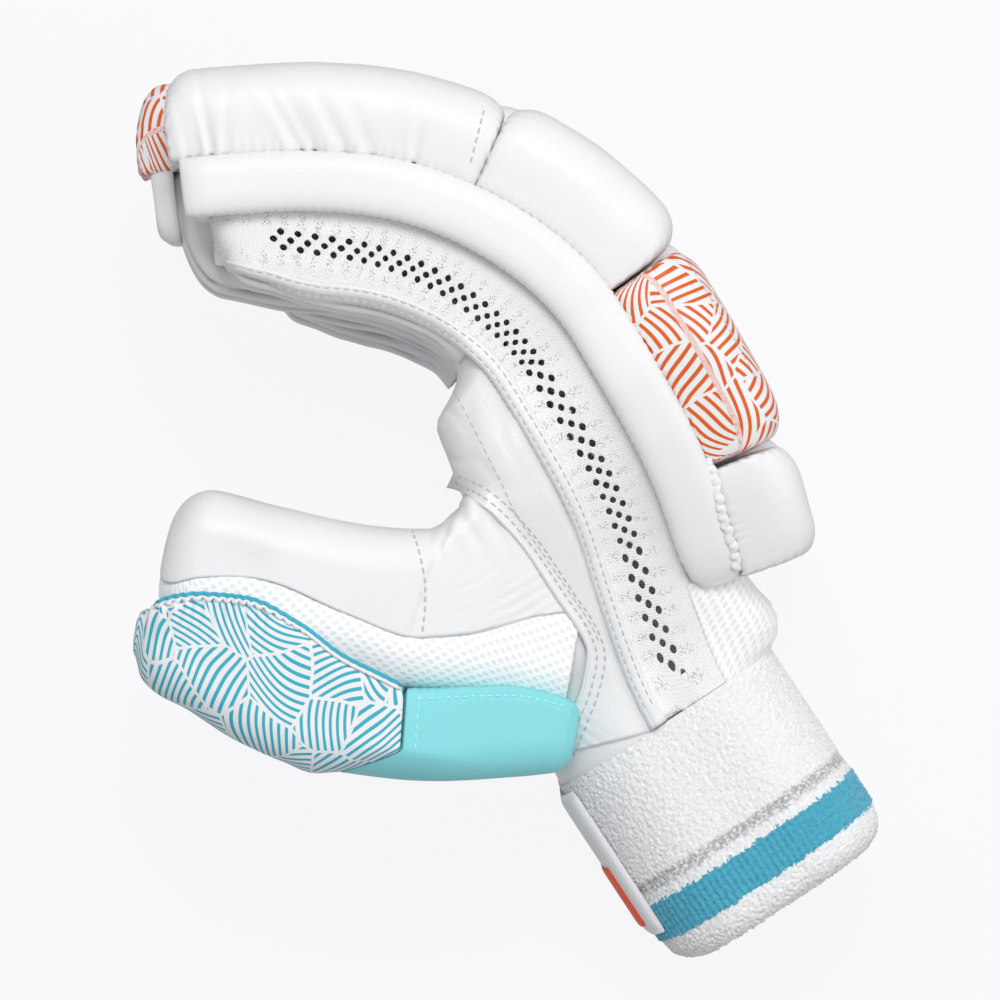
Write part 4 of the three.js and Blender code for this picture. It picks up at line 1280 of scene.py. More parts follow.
class GLOVE_OT_bars(Operator):
    """Builds the padded bars along the outer fingers."""

    bl_idname = "glove.bars"
    bl_label = "Side bars"

    def execute(self, context):
        sizes = context.scene.glove_sizes
        bar_start = 0.1 * FINGER_LENGTH
        bars = (
            ("index_side_bar", INDEX, 1, bar_start),
            ("little_side_bar", LITTLE, -1, 1.4 * bar_start),
        )
        for node, finger, side, start in bars:
            stop = reach_of(finger) + TIP_GUARD
            s, n, z = bar_grid(finger, side, start, stop)
            points = hand_point(s[:, None], n, z)
            edge = np.minimum(n.max(axis=1)[:, None] - n, n - n.min(axis=1)[:, None])
            pucker = 0.16 * by_edge(edge, 1.4) * ripple(
                s[:, None], 3.1, 3 * noise(points, 9, 5))
            amount = lumps(points, 7, (0.22, 22), (0.08, 7)) + sizes.crease * pucker
            points = push(points, amount, wrap=True)
            if side < 0:
                points[..., 2] = np.maximum(points[..., 2], 0.0)
            piece = surface(node + "_cover", points, finishes["white"], wrap=True, caps=True)
            finish_piece(piece, [node])
        return {"FINISHED"}


# Knit strips and hem

# The knit is a lattice with KNIT_SPLIT cells from one hole to the next each way. Its holes lie
# within HOLED_HALF columns of its middle, and PLAIN_COLUMNS plain ones follow on each side.
KNIT_SPLIT = 4
HOLED_HALF = 1.5
PLAIN_COLUMNS = 3.5
KNIT_ROWS = 43
KNIT_PROUD = 0.15
HOLE_POWER = 1.75
# The rings of vertices from a cell's border into its hole: size, and how far they sink
HOLE_RINGS = ((1.22, 0.0), (1.06, 0.1), (1.0, 0.4))
SHORTEST_EDGE = 0.02
HEM_OVER = 0.3


def gusset_far(finger, s):
    """The edge of the knit strip that is away from the side bar."""
    box = finger_box(finger, np.maximum(s, PALM_LENGTH))
    room = box["palm"] + 0.14 * FINGER_DEPTH
    return np.maximum(-SIDE_BAR_WIDTH - GUSSET_WIDTH - sink_at(finger, s), room)


def hole_line(s):
    across = HOLES["across"](s / FINGER_LENGTH)
    return lerp(-SIDE_BAR_WIDTH, gusset_far(INDEX, s), across)


def lattice_point(column, row):
    """A place of the knit in its own columns and rows: s, n, and the true column."""
    lean = np.clip(column, -HOLED_HALF, HOLED_HALF)
    s = GUSSET_START + HOLE_SET_IN + HOLE_PITCH * row - lean * HOLE_STAGGER * HOLE_PITCH
    s = np.clip(s, -0.25, reach_of(INDEX) - 0.7)
    middle = hole_line(s)
    near_edge = -SIDE_BAR_WIDTH + 1.5
    far_edge = gusset_far(INDEX, s) - 1.2
    inner = middle + HOLE_ROW_STEP * lean
    up = np.clip((column - HOLED_HALF) / PLAIN_COLUMNS, 0, 1)
    down = np.clip((-HOLED_HALF - column) / PLAIN_COLUMNS, 0, 1)
    n = lerp(lerp(inner, near_edge, up), far_edge, down)
    return s, n, (n - middle) / HOLE_ROW_STEP


def knit_vertices(column, row):
    s, n, true_column = lattice_point(column, row)
    points = hand_point(s, n, wall_high(tip_box(INDEX, s), n) + KNIT_PROUD)
    return points, uv_grid(true_column, row)


class GLOVE_OT_knit(Operator):
    """Builds the perforated knit strips and the rolled hem beside them."""

    bl_idname = "glove.knit"
    bl_label = "Knit strips"

    def execute(self, context):
        self.thumb_side()
        self.little_side()
        self.hem()
        return {"FINISHED"}

    def thumb_side(self):
        """A lattice of knit whose middle three columns have a hole in each cell."""
        split = KNIT_SPLIT
        columns = np.arange(-5 * split - split // 2, 5 * split + split // 2 + 1) / split
        rows = np.arange(-2 * split, KNIT_ROWS * split + 1) / split
        grid_c, grid_r = np.meshgrid(columns, rows)
        points, uv = knit_vertices(grid_c, grid_r)
        index = np.arange(grid_c.size).reshape(grid_c.shape)
        vertices = list(points.reshape(-1, 3))
        uvs = list(uv.reshape(-1, 2))
        faces = []
        holed = np.zeros((len(rows) - 1, len(columns) - 1), bool)
        last_row = int((FINGER_LENGTH - GUSSET_TIP - 2 * HOLE_SET_IN) / HOLE_PITCH)
        rng = np.random.default_rng(12)
        for column in (-1, 0, 1):
            # the column on the palm's side has one hole less
            for row in range(0, last_row + (1 if column >= 0 else 0)):
                j = int(round((column - 0.5 - columns[0]) * split))
                i = int(round((row - 0.5 - rows[0]) * split))
                holed[i:i + split, j:j + split] = True
                faces.extend(self.hole(index, vertices, uvs, i, j, column, row, rng))
        ii, jj = np.nonzero(~holed)
        quads = np.stack([
            index[ii, jj], index[ii, jj + 1], index[ii + 1, jj + 1], index[ii + 1, jj]], axis=-1)
        faces.extend(quads.tolist())
        # the clamped start and end leave cells with no length, which are dropped
        where = np.array(vertices)
        kept = []
        for face in faces:
            ring = where[list(face)]
            edges = np.linalg.norm(ring - np.roll(ring, 1, axis=0), axis=1)
            if edges.min() > SHORTEST_EDGE:
                kept.append(tuple(face))
        piece = mesh_object(
            "radial_gusset_knit", place_of(where), kept, finishes["knit"], np.array(uvs))
        self.clean(piece)
        thicken(piece, KNIT_WALL)
        finish_piece(piece, ["radial_gusset"])

    def hole(self, index, vertices, uvs, i, j, column, row, rng):
        """The rings of faces between one cell's border and its hole."""
        block = index[i:i + KNIT_SPLIT + 1, j:j + KNIT_SPLIT + 1]
        border = [*block[0, :-1], *block[:-1, -1], *block[-1, :0:-1], *block[:0:-1, 0]]
        turn = np.radians(np.arange(len(border)) * 360 / len(border) + 225)
        wide = 0.46 * HOLE_WIDTH * rng.uniform(0.94, 1.06) / HOLE_ROW_STEP
        long = 0.6 * HOLE_WIDTH * rng.uniform(0.94, 1.06) / HOLE_PITCH
        c, r = superellipse(turn, HOLE_POWER)
        # undoes the lattice's shear, so that the hole keeps its own shape
        across = wide * c
        along = long * r + HOLE_STAGGER * across
        made = []
        ring_before = border
        for share, sag in HOLE_RINGS:
            points, uv = knit_vertices(column + share * across, row + share * along)
            points[:, 2] -= sag
            start = len(vertices)
            vertices.extend(points)
            uvs.extend(uv)
            ring = list(range(start, start + len(border)))
            for k in range(len(border)):
                after = (k + 1) % len(border)
                made.append((ring_before[k], ring_before[after], ring[after], ring[k]))
            ring_before = ring
        return made

    def clean(self, piece):
        """Turns the faces up and drops the vertices that no face uses."""
        bm = bmesh.new()
        bm.from_mesh(piece.data)
        bmesh.ops.recalc_face_normals(bm, faces=bm.faces)
        up = sum(f.normal.z * f.calc_area() for f in bm.faces)
        if up < 0:
            bmesh.ops.reverse_faces(bm, faces=bm.faces)
        spare = [v for v in bm.verts if not v.link_faces]
        bmesh.ops.delete(bm, geom=spare, context="VERTS")
        bm.to_mesh(piece.data)
        bm.free()

    def little_side(self):
        s = np.linspace(GUSSET_START, reach_of(LITTLE) - GUSSET_TIP, 150)[:, None]
        near = -SIDE_BAR_WIDTH - GAP - sink_at(LITTLE, s) + 1.5
        n = lerp(near, gusset_far(LITTLE, s), np.linspace(0, 1, 26)[None, :])
        box = wall_box(LITTLE, s)
        z = box["low"] + box["high"] - wall_high(box, n) - KNIT_PROUD
        points = hand_point(s, n, z)
        column = (n - near) / HOLE_ROW_STEP + 4.5
        uv = uv_grid(column, s / HOLE_PITCH)
        piece = surface("ulnar_gusset_knit", points, finishes["knit"], toward=(0, 0, -1),
                        uv=uv, wall=KNIT_WALL)
        finish_piece(piece, ["ulnar_gusset"])

    def hem(self):
        stop = reach_of(INDEX) - 5
        s = np.linspace(0.2, stop, 240)[:, None]
        near = gusset_far(INDEX, s) + HEM_OVER
        angle = np.linspace(0, math.pi, 22)[None, :]
        across, up = superellipse(angle, 2.6)
        half = HEM_WIDTH / 2 * (1 - 0.45 * ease(s, stop - 25, stop))
        middle = near - half
        n = middle + across * half
        box = tip_box(INDEX, s)
        floor = wall_high(box, n)
        z = floor + 0.2 + (HEM_THICKNESS - 0.2) * np.maximum(up, 0)
        flat = np.linspace(-0.95, 0.95, 8)[None, :]
        n_flat = middle + flat * half
        z_flat = wall_high(box, n_flat) + 0.1
        n = np.concatenate([n, n_flat], axis=1)
        z = np.concatenate([z, z_flat], axis=1)
        points = hand_point(s, n, z)
        grooves = -0.28 * (bell(n - (near - 1.5), 0.35) + bell(n - (near - 4.0), 0.35))
        waves = 0.1 * ripple(s, 3.3, 2 * noise(points, 6, 31))
        relief = grooves + waves + 0.18 * noise(points, 12, 33)
        amount = relief * (np.arange(n.shape[1]) < across.shape[1])
        points = push(points, amount, wrap=True)
        piece = surface("radial_hem_roll", points, finishes["hide"], wrap=True, caps=True)
        finish_piece(piece, ["radial_hem"])


# Hand and fingers

# Rows along and columns round the straight part of a stall and of the thumb
STALL_ROWS = 64
STALL_COLUMNS = 84
THUMB_ROWS = 118
THUMB_COLUMNS = 96


def arc_rows(boxes, uppers, lowers, count, through):
    """n, z and arc length of a run of sections between two places on their walls."""
    rows_n, rows_z, rows_a = [], [], []
    for i in range(len(uppers)):
        ring = dense_ring(box_row(boxes, i))
        n, z, arc = ring_spots(ring, uppers[i], lowers[i], count, through)
        rows_n.append(n)
        rows_z.append(z)
        rows_a.append(arc)
    return np.array(rows_n), np.array(rows_z), np.array(rows_a)


def whole_rows(boxes, rows, count):
    """n, z and arc length of a run of whole sections."""
    rings = [ring_whole(dense_ring(box_row(boxes, i)), count) for i in range(rows)]
    return (np.array([ring[k] for ring in rings]) for k in range(3))


class GLOVE_OT_hand(Operator):
    """Builds the leather of the palm, the back of the hand and the fingers."""

    bl_idname = "glove.hand"
    bl_label = "Hand and fingers"

    def execute(self, context):
        sizes = context.scene.glove_sizes
        self.palm(sizes)
        self.back()
        for finger in FINGERS:
            self.sheath(finger, sizes)
            self.guard(finger)
        return {"FINISHED"}

    def palm(self, sizes):
        s = np.concatenate([[-2.5, -1.2], np.linspace(0.0, PALM_LENGTH, 150)])
        box = grow(hand_box(s), -1.0 * (s < 0))
        stall = -FINGER_DEPTH * FINGER["depth"](PALM_LENGTH / FINGER_LENGTH) - 1.0
        box["palm"] = lerp(box["palm"], stall, ease(s, 116, PALM_LENGTH))
        upper = gusset_far(INDEX, s) - 1.0
        lower = gusset_far(LITTLE, s) - 0.5
        n, z, arc = arc_rows(box, upper, lower, 126, "palm")
        points = hand_point(s[:, None], n, np.maximum(z, 0.3))
        # creases that run from the thumb's root towards the fingers
        crease = -0.4 * bell(noise(points * np.array([1.0, 0.45, 1.0]), 8, 43), 0.16)
        crease = sizes.crease * crease * bell(s[:, None] - 100, 38)
        amount = lumps(points, 41, (0.35, 26), (0.1, 9)) + crease
        points = push(points, amount, toward=(-1, 0, 0.2))
        uv = uv_grid(arc, s[:, None])
        piece = surface("palm_leather_wall", points, finishes["hide"], toward=(-1, 0, 0.2),
                        uv=uv, wall=LEATHER)
        finish_piece(piece, ["palm_leather"])

    def back(self):
        s = np.concatenate([[-2.5, -1.2], np.linspace(0.0, PALM_LENGTH + 2, 64)])
        box = grow(hand_box(s), -1.0 * (s < 0))
        edge = 0 * s - BACK_PANEL_EDGE
        n, z, _ = arc_rows(box, edge, edge, 64, "back")
        points = hand_point(s[:, None], n, np.maximum(z, 0.3))
        points = push(points, 0.12 * noise(points, 14, 51) - 0.15, toward=(1, 0, 0))
        piece = surface("back_panel_wall", points, finishes["white"], toward=(1, 0, 0),
                        wall=THIN_LEATHER)
        finish_piece(piece, ["back_panel"])

    def sheath(self, finger, sizes):
        """The hollow stall of one finger, closed at its tip."""
        reach = reach_of(finger)
        start = PALM_LENGTH - 2.5
        straight = np.linspace(start, reach - TIP_ROUND, STALL_ROWS)
        bend = np.linspace(0, 0.93, 14)[1:]
        tip = reach - TIP_ROUND + TIP_ROUND * np.sin(bend * math.pi / 2)
        left = np.concatenate([np.ones(STALL_ROWS), np.cos(bend * math.pi / 2) ** 0.62])
        s = np.concatenate([straight, tip])
        box = finger_box(finger, s)
        middle = (box["low"] + box["high"]) / 2
        box["palm"] = lerp(box["back"], box["palm"], 0.12 + 0.88 * left)
        box["low"] = lerp(middle, box["low"], left)
        box["high"] = lerp(middle, box["high"], left)
        wrap = finger is not INDEX
        if not wrap:
            upper = gusset_far(INDEX, s) - 1.0
            upper = np.maximum(upper, box["palm"] + 1.5)
            lower = box["back"] - 1.0
            n, z, _ = arc_rows(box, upper, lower, STALL_COLUMNS, "palm")
        else:
            n, z, _ = whole_rows(box, len(s), STALL_COLUMNS)
        points = hand_point(s[:, None], n, z)
        seed = 60 + 5 * FINGERS.index(finger)
        from_palm = n - box["palm"][:, None]
        # slack folds run along the inside of the curled finger
        middle = ((box["low"] + box["high"]) / 2)[:, None]
        phase = (z - middle) / 5.2 + 0.5 * noise(points * np.array([0.3, 0.3, 1.0]), 9, seed + 1)
        fold = (np.abs(np.sin(math.pi * phase)) ** 0.5 - 0.75) * 2.2
        grown = ease(s, start + 4, start + 26)[:, None] * ease(s, reach, reach - 7)[:, None]
        amount = 0.35 * noise(points, 15, seed) + sizes.crease * bell(from_palm, 15) * fold * grown
        points = push(points, amount, wrap=wrap)
        # painted shade: how deep each point lies in a fold's valley, which the hide paints darker
        valley_shade = bell(np.sin(math.pi * phase), 0.38) * bell(from_palm, 22) * grown
        uv = uv_grid(0.85 * valley_shade, n)
        piece = surface(finger["name"] + "_sheath_wall", points, finishes["folds"], wrap=wrap,
                        uv=uv, wall=LEATHER - 0.2)
        finish_piece(piece, [finger["name"] + "_sheath"])

    def guard(self, finger):
        """The cap over one fingertip."""
        reach = reach_of(finger)
        box = finger_box(finger, reach)
        guard_share = 0.5 if finger is INDEX else 0.62
        bend = np.linspace(0, 1, 9)
        s = np.concatenate([[reach - 1.5], reach + GAP + (TIP_GUARD - GAP) * np.sin(
            bend * math.pi / 2), [reach + TIP_GUARD]])
        draw = np.concatenate([[0], 0.9 * (1 - np.cos(bend * math.pi / 2)), [1]]) * TIP_GUARD
        shrink = np.concatenate([np.ones(len(s) - 1), [0.05]])
        rings = []
        for i in range(len(s)):
            cap = {
                "palm": box["back"] - guard_share * (box["back"] - box["palm"]) + draw[i],
                "back": box["back"] - GAP - 0.2 * draw[i],
                "low": box["low"] + 0.5 * draw[i],
                "high": box["high"] - 0.5 * draw[i],
                "round_palm": 6.0,
                "round_back": 2.5,
            }
            n, z, _ = ring_whole(dense_ring(box_row(cap, 0)), 60)
            n = n.mean() + (n - n.mean()) * shrink[i]
            z = z.mean() + (z - z.mean()) * shrink[i]
            rings.append(hand_point(s[i], n, z))
        points = np.array(rings)
        points[2:-1] = push(points, 0.2 * noise(points, 7, 91), wrap=True)[2:-1]
        piece = surface(finger["name"] + "_tip_guard_cap", points, finishes["white"],
                        wrap=True, caps=True)
        finish_piece(piece, [finger["name"] + "_tip_guard"])


# Thumb


def thumb_centre(t):
    root = float(hand_box(THUMB_ROOT_UP)["high"]) - THUMB_ROOT_DROP - THUMB_WIDTH / 2
    tip = HAND_HIGH + THUMB_TIP_LIFT - THUMB_WIDTH / 2
    return lerp(root, tip, THUMB["rise"](np.asarray(t, float) / THUMB_LENGTH))


def thumb_box(t, left):
    at = t / THUMB_LENGTH
    half = left * THUMB_DEPTH / 2
    return {
        "palm": -half * THUMB["leather"](at),
        "back": half * THUMB["pads"](at),
        "low": thumb_centre(t) - left * THUMB_WIDTH / 2,
        "high": thumb_centre(t) + left * THUMB_WIDTH / 2,
        "round_palm": THUMB_ROUND + 0 * t,
        "round_back": THUMB_ROUND + 0 * t,
    }


class GLOVE_OT_thumb(Operator):
    """Builds the leather and the spacer mesh of the thumb."""

    bl_idname = "glove.thumb"
    bl_label = "Thumb"

    def execute(self, context):
        sizes = context.scene.glove_sizes
        straight = np.linspace(6, THUMB_LENGTH - TIP_ROUND, THUMB_ROWS)
        bend = np.linspace(0, 0.9995, 22)[1:]
        tip = THUMB_LENGTH - TIP_ROUND + TIP_ROUND * np.sin(bend * math.pi / 2)
        left = np.concatenate([np.ones(THUMB_ROWS), np.cos(bend * math.pi / 2) ** 0.6])
        t = np.concatenate([straight, tip])
        box = thumb_box(t, left)
        line = THUMB["mesh"](t / THUMB_LENGTH) * THUMB_DEPTH / 2 * left
        for node, through, look, slot in (
            ("thumb_leather", "palm", "white", "white_leather"),
            ("thumb_mesh", "back", "airmesh", "airmesh"),
        ):
            edge = line + (0.4 if through == "palm" else 0.0)
            n, z, arc = arc_rows(box, edge, edge, THUMB_COLUMNS, through)
            points = thumb_point(t[:, None], n, z)
            if through == "palm":
                amount = self.leather_relief(t, n, z, points, sizes)
            else:
                within = np.minimum(arc, arc[:, -1:] - arc)
                amount = 0.3 * noise(points, 11, 73) - 1.1 * by_edge(within, 1.5)
            points = push(points, amount)
            uv = uv_grid(arc, t[:, None])
            piece = surface(node + "_wall", points, finishes[look], uv=uv, wall=THIN_LEATHER)
            finish_piece(piece, [node])
        return {"FINISHED"}

    def leather_relief(self, t, n, z, points, sizes):
        """Soft swells, the cross seam and the creases at the thumb's web."""
        t = t[:, None]
        amount = lumps(points, 71, (0.45, 21), (0.1, 7))
        # the seam across the thumb
        away = t - (52.5 + 0.12 * n)
        amount = amount - 0.75 * bell(away, 0.9)
        amount = amount - 0.35 * np.exp(-away ** 2 / 18) * (away < 0)
        # wrinkles fan out from the web between the thumb and the palm
        web = bell(t - 40, 12) * bell(n + 34, 12)
        stripes = np.sin(0.85 * (t + 0.9 * n) + 2.2 * noise(points, 11, 74))
        amount = amount + sizes.crease * 0.9 * web * stripes
        lower = bell(t - 30, 16) * bell(n + 6, 10)
        fine = np.sin(1.3 * (t - 1.3 * n) + 3 * noise(points, 8, 75))
        amount = amount + sizes.crease * 0.22 * lower * fine
        # a shallow dent where the thumb bends
        dent = bell(t - 104, 9) * bell(n + 4, 9)
        return amount - 0.8 * dent * ease(z, 108, 120)


def split_shift(n):
    """How far the line between the two pads has moved along the thumb at n: nearly straight
    down from the thumb's leather, and then swept round towards its tip."""
    deep = np.asarray(n, float) - THUMB_DEPTH / 2
    swept = np.clip(deep - PAD_SPLIT_TURN, 0, 99)
    return -0.3 * PAD_SPLIT_LEAN * np.clip(deep, -9, PAD_SPLIT_TURN) + PAD_SPLIT_SWEEP * (
        swept * swept / (swept + 2))


def pad_grid(curves, first, last, rows):
    """A pad along the thumb: n, z and t of its rows, from its lapping edge to its outer face."""
    at = lerp(first, last, np.linspace(0, 1, rows))
    t = at * THUMB_LENGTH
    half = THUMB_DEPTH / 2
    reach = THUMB_WIDTH / 2 + THUMB_PAD_EDGE * (2 * curves["side"](at) - 1)
    box = {
        "palm": curves["edge"](at) * half,
        "back": half + curves["outer"](at) * THUMB_PAD_DEPTH,
        "low": thumb_centre(t) - reach,
        "high": thumb_centre(t) + reach,
        "round_palm": 2.4 + 0 * at,
        "round_back": THUMB_PAD_ROUND + 0 * at,
    }
    lean = curves["lean"](at)
    n, z, arc = whole_rows(box, rows, 150)
    return t[:, None] + lean[:, None] * split_shift(n), n, z, arc, box


def close_ends(points, uv, domes):
    """Rows added at both ends that close them with a soft dome."""
    closing = np.array([0.04, 0.35, 0.65, 0.87, 0.97])
    first, last = points[0], points[-1]
    before = []
    after = []
    ahead = unit((points[0] - points[4]).mean(axis=0))
    behind = unit((points[-1] - points[-5]).mean(axis=0))
    for k in closing:
        bulge = math.sqrt(1 - k * k)
        before.append(first.mean(axis=0) + (first - first.mean(axis=0)) * k
                      + ahead * domes[0] * bulge)
        after.append(last.mean(axis=0) + (last - last.mean(axis=0)) * k
                     + behind * domes[1] * bulge)
    grid = np.concatenate([np.array(before), points, np.array(after)[::-1]])
    # the print runs on over the ends
    over = 14.0
    ends = []
    for row, way in ((uv[0], -over), (uv[-1], over)):
        centre = row.mean(axis=0)
        ends.append([
            np.stack([centre[0] + (row[:, 0] - centre[0]) * k, row[:, 1] + (1 - k) * way], axis=-1)
            for k in closing])
    uvs = np.concatenate([np.stack(ends[0]), uv, np.stack(ends[1][::-1])])
    return grid, uvs


class GLOVE_OT_pads(Operator):
    """Builds the two pads on the outer side of the thumb."""

    bl_idname = "glove.pads"
    bl_label = "Thumb pads"

    def execute(self, context):
        self.tip(context.scene.glove_sizes)
        self.base()
        return {"FINISHED"}

    def tip(self, sizes):
        t, n, z, arc, box = pad_grid(TIP_PAD, 0.413, 1.02, 150)
        points = thumb_point(t, n, z)
        edge = n - box["palm"][:, None]
        # the cover is gathered along its seam near the thumb's tip
        ruck = by_edge(edge, 5.0) * ease(t, 84, 100)
        waves = ripple(t, 3.1, 2.5 * noise(points, 7, 81))
        amount = lumps(points, 82, (0.35, 19), (0.1, 6)) + sizes.crease * 0.75 * ruck * waves
        seam = by_edge(edge, 2.0)
        amount = amount - 0.7 * seam + 0.22 * seam * ripple(t, 2.4)
        points = push(points, amount, wrap=True)
        uv = uv_grid(arc, t)
        points, uv = close_ends(points, uv, (0.4, 2.0))
        piece = surface("thumb_tip_pad_cover", points, finishes["cyan"], wrap=True, caps=True,
                        uv=uv)
        finish_piece(piece, ["thumb_tip_pad"])

    def base(self):
        t, n, z, arc, box = pad_grid(BASE_PAD, 0.012, 0.406, 110)
        points = thumb_point(t, n, z)
        edge = n - box["palm"][:, None]
        groove = bell(edge - STITCH_SET_IN, 0.7) * (z > box["low"][:, None] + 3)
        amount = lumps(points, 86, (0.25, 19), (0.06, 6)) - 0.3 * groove
        amount = amount + 0.12 * by_edge(edge, 2.0) * ripple(t, 2.6)
        points = push(points, amount, wrap=True)
        uv = uv_grid(arc, t)
        points, uv = close_ends(points, uv, (0.8, 0.3))
        piece = surface("thumb_base_pad_cover", points, finishes["pad"], wrap=True, caps=True,
                        uv=uv)
        finish_piece(piece, ["thumb_base_pad"])


# Wrist


class GLOVE_OT_wrist(Operator):
    """Builds the spacer mesh that humps up behind the wrist."""

    bl_idname = "glove.wrist"
    bl_label = "Wrist mesh"

    def execute(self, context):
        s = np.concatenate([[-2.5, -1.2], np.linspace(0.0, 27, 46)])
        box = grow(hand_box(s), -1.2 * (s < 0))
        n, z, arc = arc_rows(box, 0 * s - 17.0, 0 * s - 15.5, 170, "back")
        points = hand_point(s[:, None], n, z)
        share = (z - box["low"][:, None]) / (box["high"] - box["low"])[:, None]
        mid = np.clip(1 - np.abs(2 * share - 1) ** 2.6, 0, 1) ** 0.8
        hump = np.interp(s / BELLOWS_LENGTH, (0, 0.18, 0.42, 0.7, 1.0, 1.4),
                         (0.12, 0.7, 1, 0.95, 0.55, 0.1))[:, None]
        lift = hump * (0.12 + 0.88 * mid) * BELLOWS_THICKNESS
        out = ease(n, -17, -3)
        amount = 0.35 + lift * out + 0.2 * noise(points, 9, 95)
        points = push(points, amount, toward=(1, 0, 0))
        points[..., 2] = np.maximum(points[..., 2], 0.3)
        uv = uv_grid(arc, s[:, None])
        piece = surface("wrist_mesh", points, finishes["airmesh"], toward=(1, 0, 0), uv=uv,
                        wall=1.2)
        finish_piece(piece, ["wrist_bellows"])
        return {"FINISHED"}


CUFF_COLUMNS = 560
CUFF_TOP = 0.3
LOOP_PITCH = 1.0


def cuff_box():
    return {
        "palm": -float(CUFF_DEPTH),
        "back": 0.0,
        "low": -CUFF_PRESS,
        "high": float(WRIST_HIGH),
        "round_palm": float(CUFF_ROUND),
        "round_back": float(CUFF_ROUND),
    }


class GLOVE_OT_cuff(Operator):
    """Builds the towelling cuff with its loops."""

    bl_idname = "glove.cuff"
    bl_label = "Towelling cuff"

    def execute(self, context):
        loop = context.scene.glove_sizes.loop / MM
        fine = np.arange(-CUFF_TOP, -(CUFF_LENGTH - CUFF_LIP), -0.5)
        turn = np.linspace(0, 1, 30)
        lip_y = -CUFF_LENGTH + (1 - turn) * CUFF_LIP
        lip_in = -LIP["outside"](turn) * CUFF_WALL
        inner_turn = np.linspace(1, 0, 12)
        inner_y = -CUFF_LENGTH + (1 - inner_turn) * CUFF_LIP + 0.4
        inner_in = -LIP["inside"](inner_turn) * CUFF_WALL
        back_y = np.linspace(-(CUFF_LENGTH - CUFF_LIP), -CUFF_TOP, 16)
        y = np.concatenate([fine, lip_y, inner_y, back_y])
        by = np.concatenate([0 * fine, lip_in, inner_in, 0 * back_y - CUFF_WALL])
        # arc ends as the inner wall's, and sets the same columns of loops all the way down
        rows = []
        for i in range(len(y)):
            n, z, arc = ring_whole(dense_ring(grow(cuff_box(), by[i])), CUFF_COLUMNS)
            rows.append(hand_point(y[i], n, z))
        points = np.array(rows)
        outer = len(fine) + len(lip_y)
        pile = self.loops(arc, -y) + 0.25 * noise(points, 0.7, 102)
        knit_rows = ripple(arc[None, :], 1.9)
        knit_loops = np.sin(2 * math.pi * -y[:, None] / 1.25 + math.pi * (
            np.floor(arc / 0.95)[None, :] % 2))
        blue = ease(-y, BLUE_STRIPE[0] - 0.5, BLUE_STRIPE[0] + 0.5)[:, None]
        blue = blue * ease(-y, BLUE_STRIPE[1] + 0.5, BLUE_STRIPE[1] - 0.5)[:, None]
        grey = bell(-y - GREY_MIDDLE, 1.2)[:, None]
        relief = pile * (1 - 0.5 * blue) + 0.9 * blue * (0.55 * knit_rows + 0.45 * knit_loops)
        swell = 0.35 * noise(points, 26, 103) + 0.5 * blue - 0.4 * grey
        amount = np.where((np.arange(len(y)) < outer)[:, None], loop * relief + swell, 0)
        points = push(points, amount, wrap=True)
        points[..., 2] = np.maximum(points[..., 2], 0.0)
        uv = uv_grid(arc[None, :], -y[:, None])
        piece = surface(
            "cuff_towelling", points, finishes["towel"], wrap=True, uv=uv, joined=True)
        finish_piece(piece, ["cuff_band"])
        return {"FINISHED"}

    def loops(self, arc, down):
        """Height of a close cover of round loops, each set a little off its place, 1 on top."""
        u = arc[None, :] / LOOP_PITCH
        v = down[:, None] / LOOP_PITCH
        best = np.full(np.broadcast(u, v).shape, 9.0)
        for du in (-1, 0, 1):
            for dv in (-1, 0, 1):
                column = np.floor(u).astype(np.int64) + du
                row = np.floor(v).astype(np.int64) + dv
                off_u = 0.5 + 0.42 * lattice_value(column, row, 0 * row, 7)
                off_v = 0.5 + 0.42 * lattice_value(column, row, 0 * row + 1, 8)
                away = np.hypot(u - column - off_u, v - row - off_v)
                best = np.minimum(best, away)
        return 1 - 2.2 * np.clip(best, 0, 0.8) ** 1.5


# Collar, seams and trim

# How often the collar's heights are smoothed over what it lies on
DRAPE_PASSES = 60
# Seam lines seen from the thumb side, as x and y from the wrist's middle in millimetres.
COLLAR_EDGE = (
    (-17.0, 93.2), (-15.3, 91.6), (-10.8, 83.8), (-7.9, 72.5), (-6.9, 60.7), (-6.9, 47.6),
    (-6.6, 38.7), (-7.7, 30.7), (-15, 21.7), (-22.4, 16.2), (-32.4, 8.9),
)
PALM_STITCH = (
    (1.9, 128.2), (1.1, 120.1), (0.4, 110.2), (-0.8, 98.9), (-2.3, 86.1), (-3.9, 73.3),
    (-3.6, 60), (-3.4, 47), (-3.2, 38), (-4.2, 30),
)
THUMB_SEAM = ((-31.5, 87.7), (-32.5, 83.5), (-35, 76.5), (-39.3, 68.9), (-45.1, 61.7))
ROLL_STITCH = ((52.1, 177), (45.2, 170.6), (38.6, 164.7))
BINDING = (
    (50.8, 58.6), (49.3, 52.3), (47.1, 46.8), (45.3, 41.0), (43.8, 35.0), (42.1, 29.2),
    (40.7, 25.8),
)


def curve_through(places, step):
    """A smooth line through places, with a point each step millimetres."""
    places = np.asarray(places, float)
    length = run_length(places)
    at = np.linspace(0, length[-1], max(2, int(length[-1] / step) + 1))
    table = {"at": length}
    columns = []
    for k in range(places.shape[1]):
        table["value"] = places[:, k]
        columns.append(curve_of(table, "value")(at))
    return np.stack(columns, axis=-1)


def tree_of(names):
    """The built pieces as one tree for ray casts, in millimetres from the wrist's middle."""
    vertices = []
    faces = []
    for name in names:
        mesh = built[name].data
        start = len(vertices)
        vertices.extend(Vector(v.co) / MM - Vector(OFFSET) for v in mesh.vertices)
        faces.extend([start + i for i in polygon.vertices] for polygon in mesh.polygons)
    return BVHTree.FromPolygons(vertices, faces)


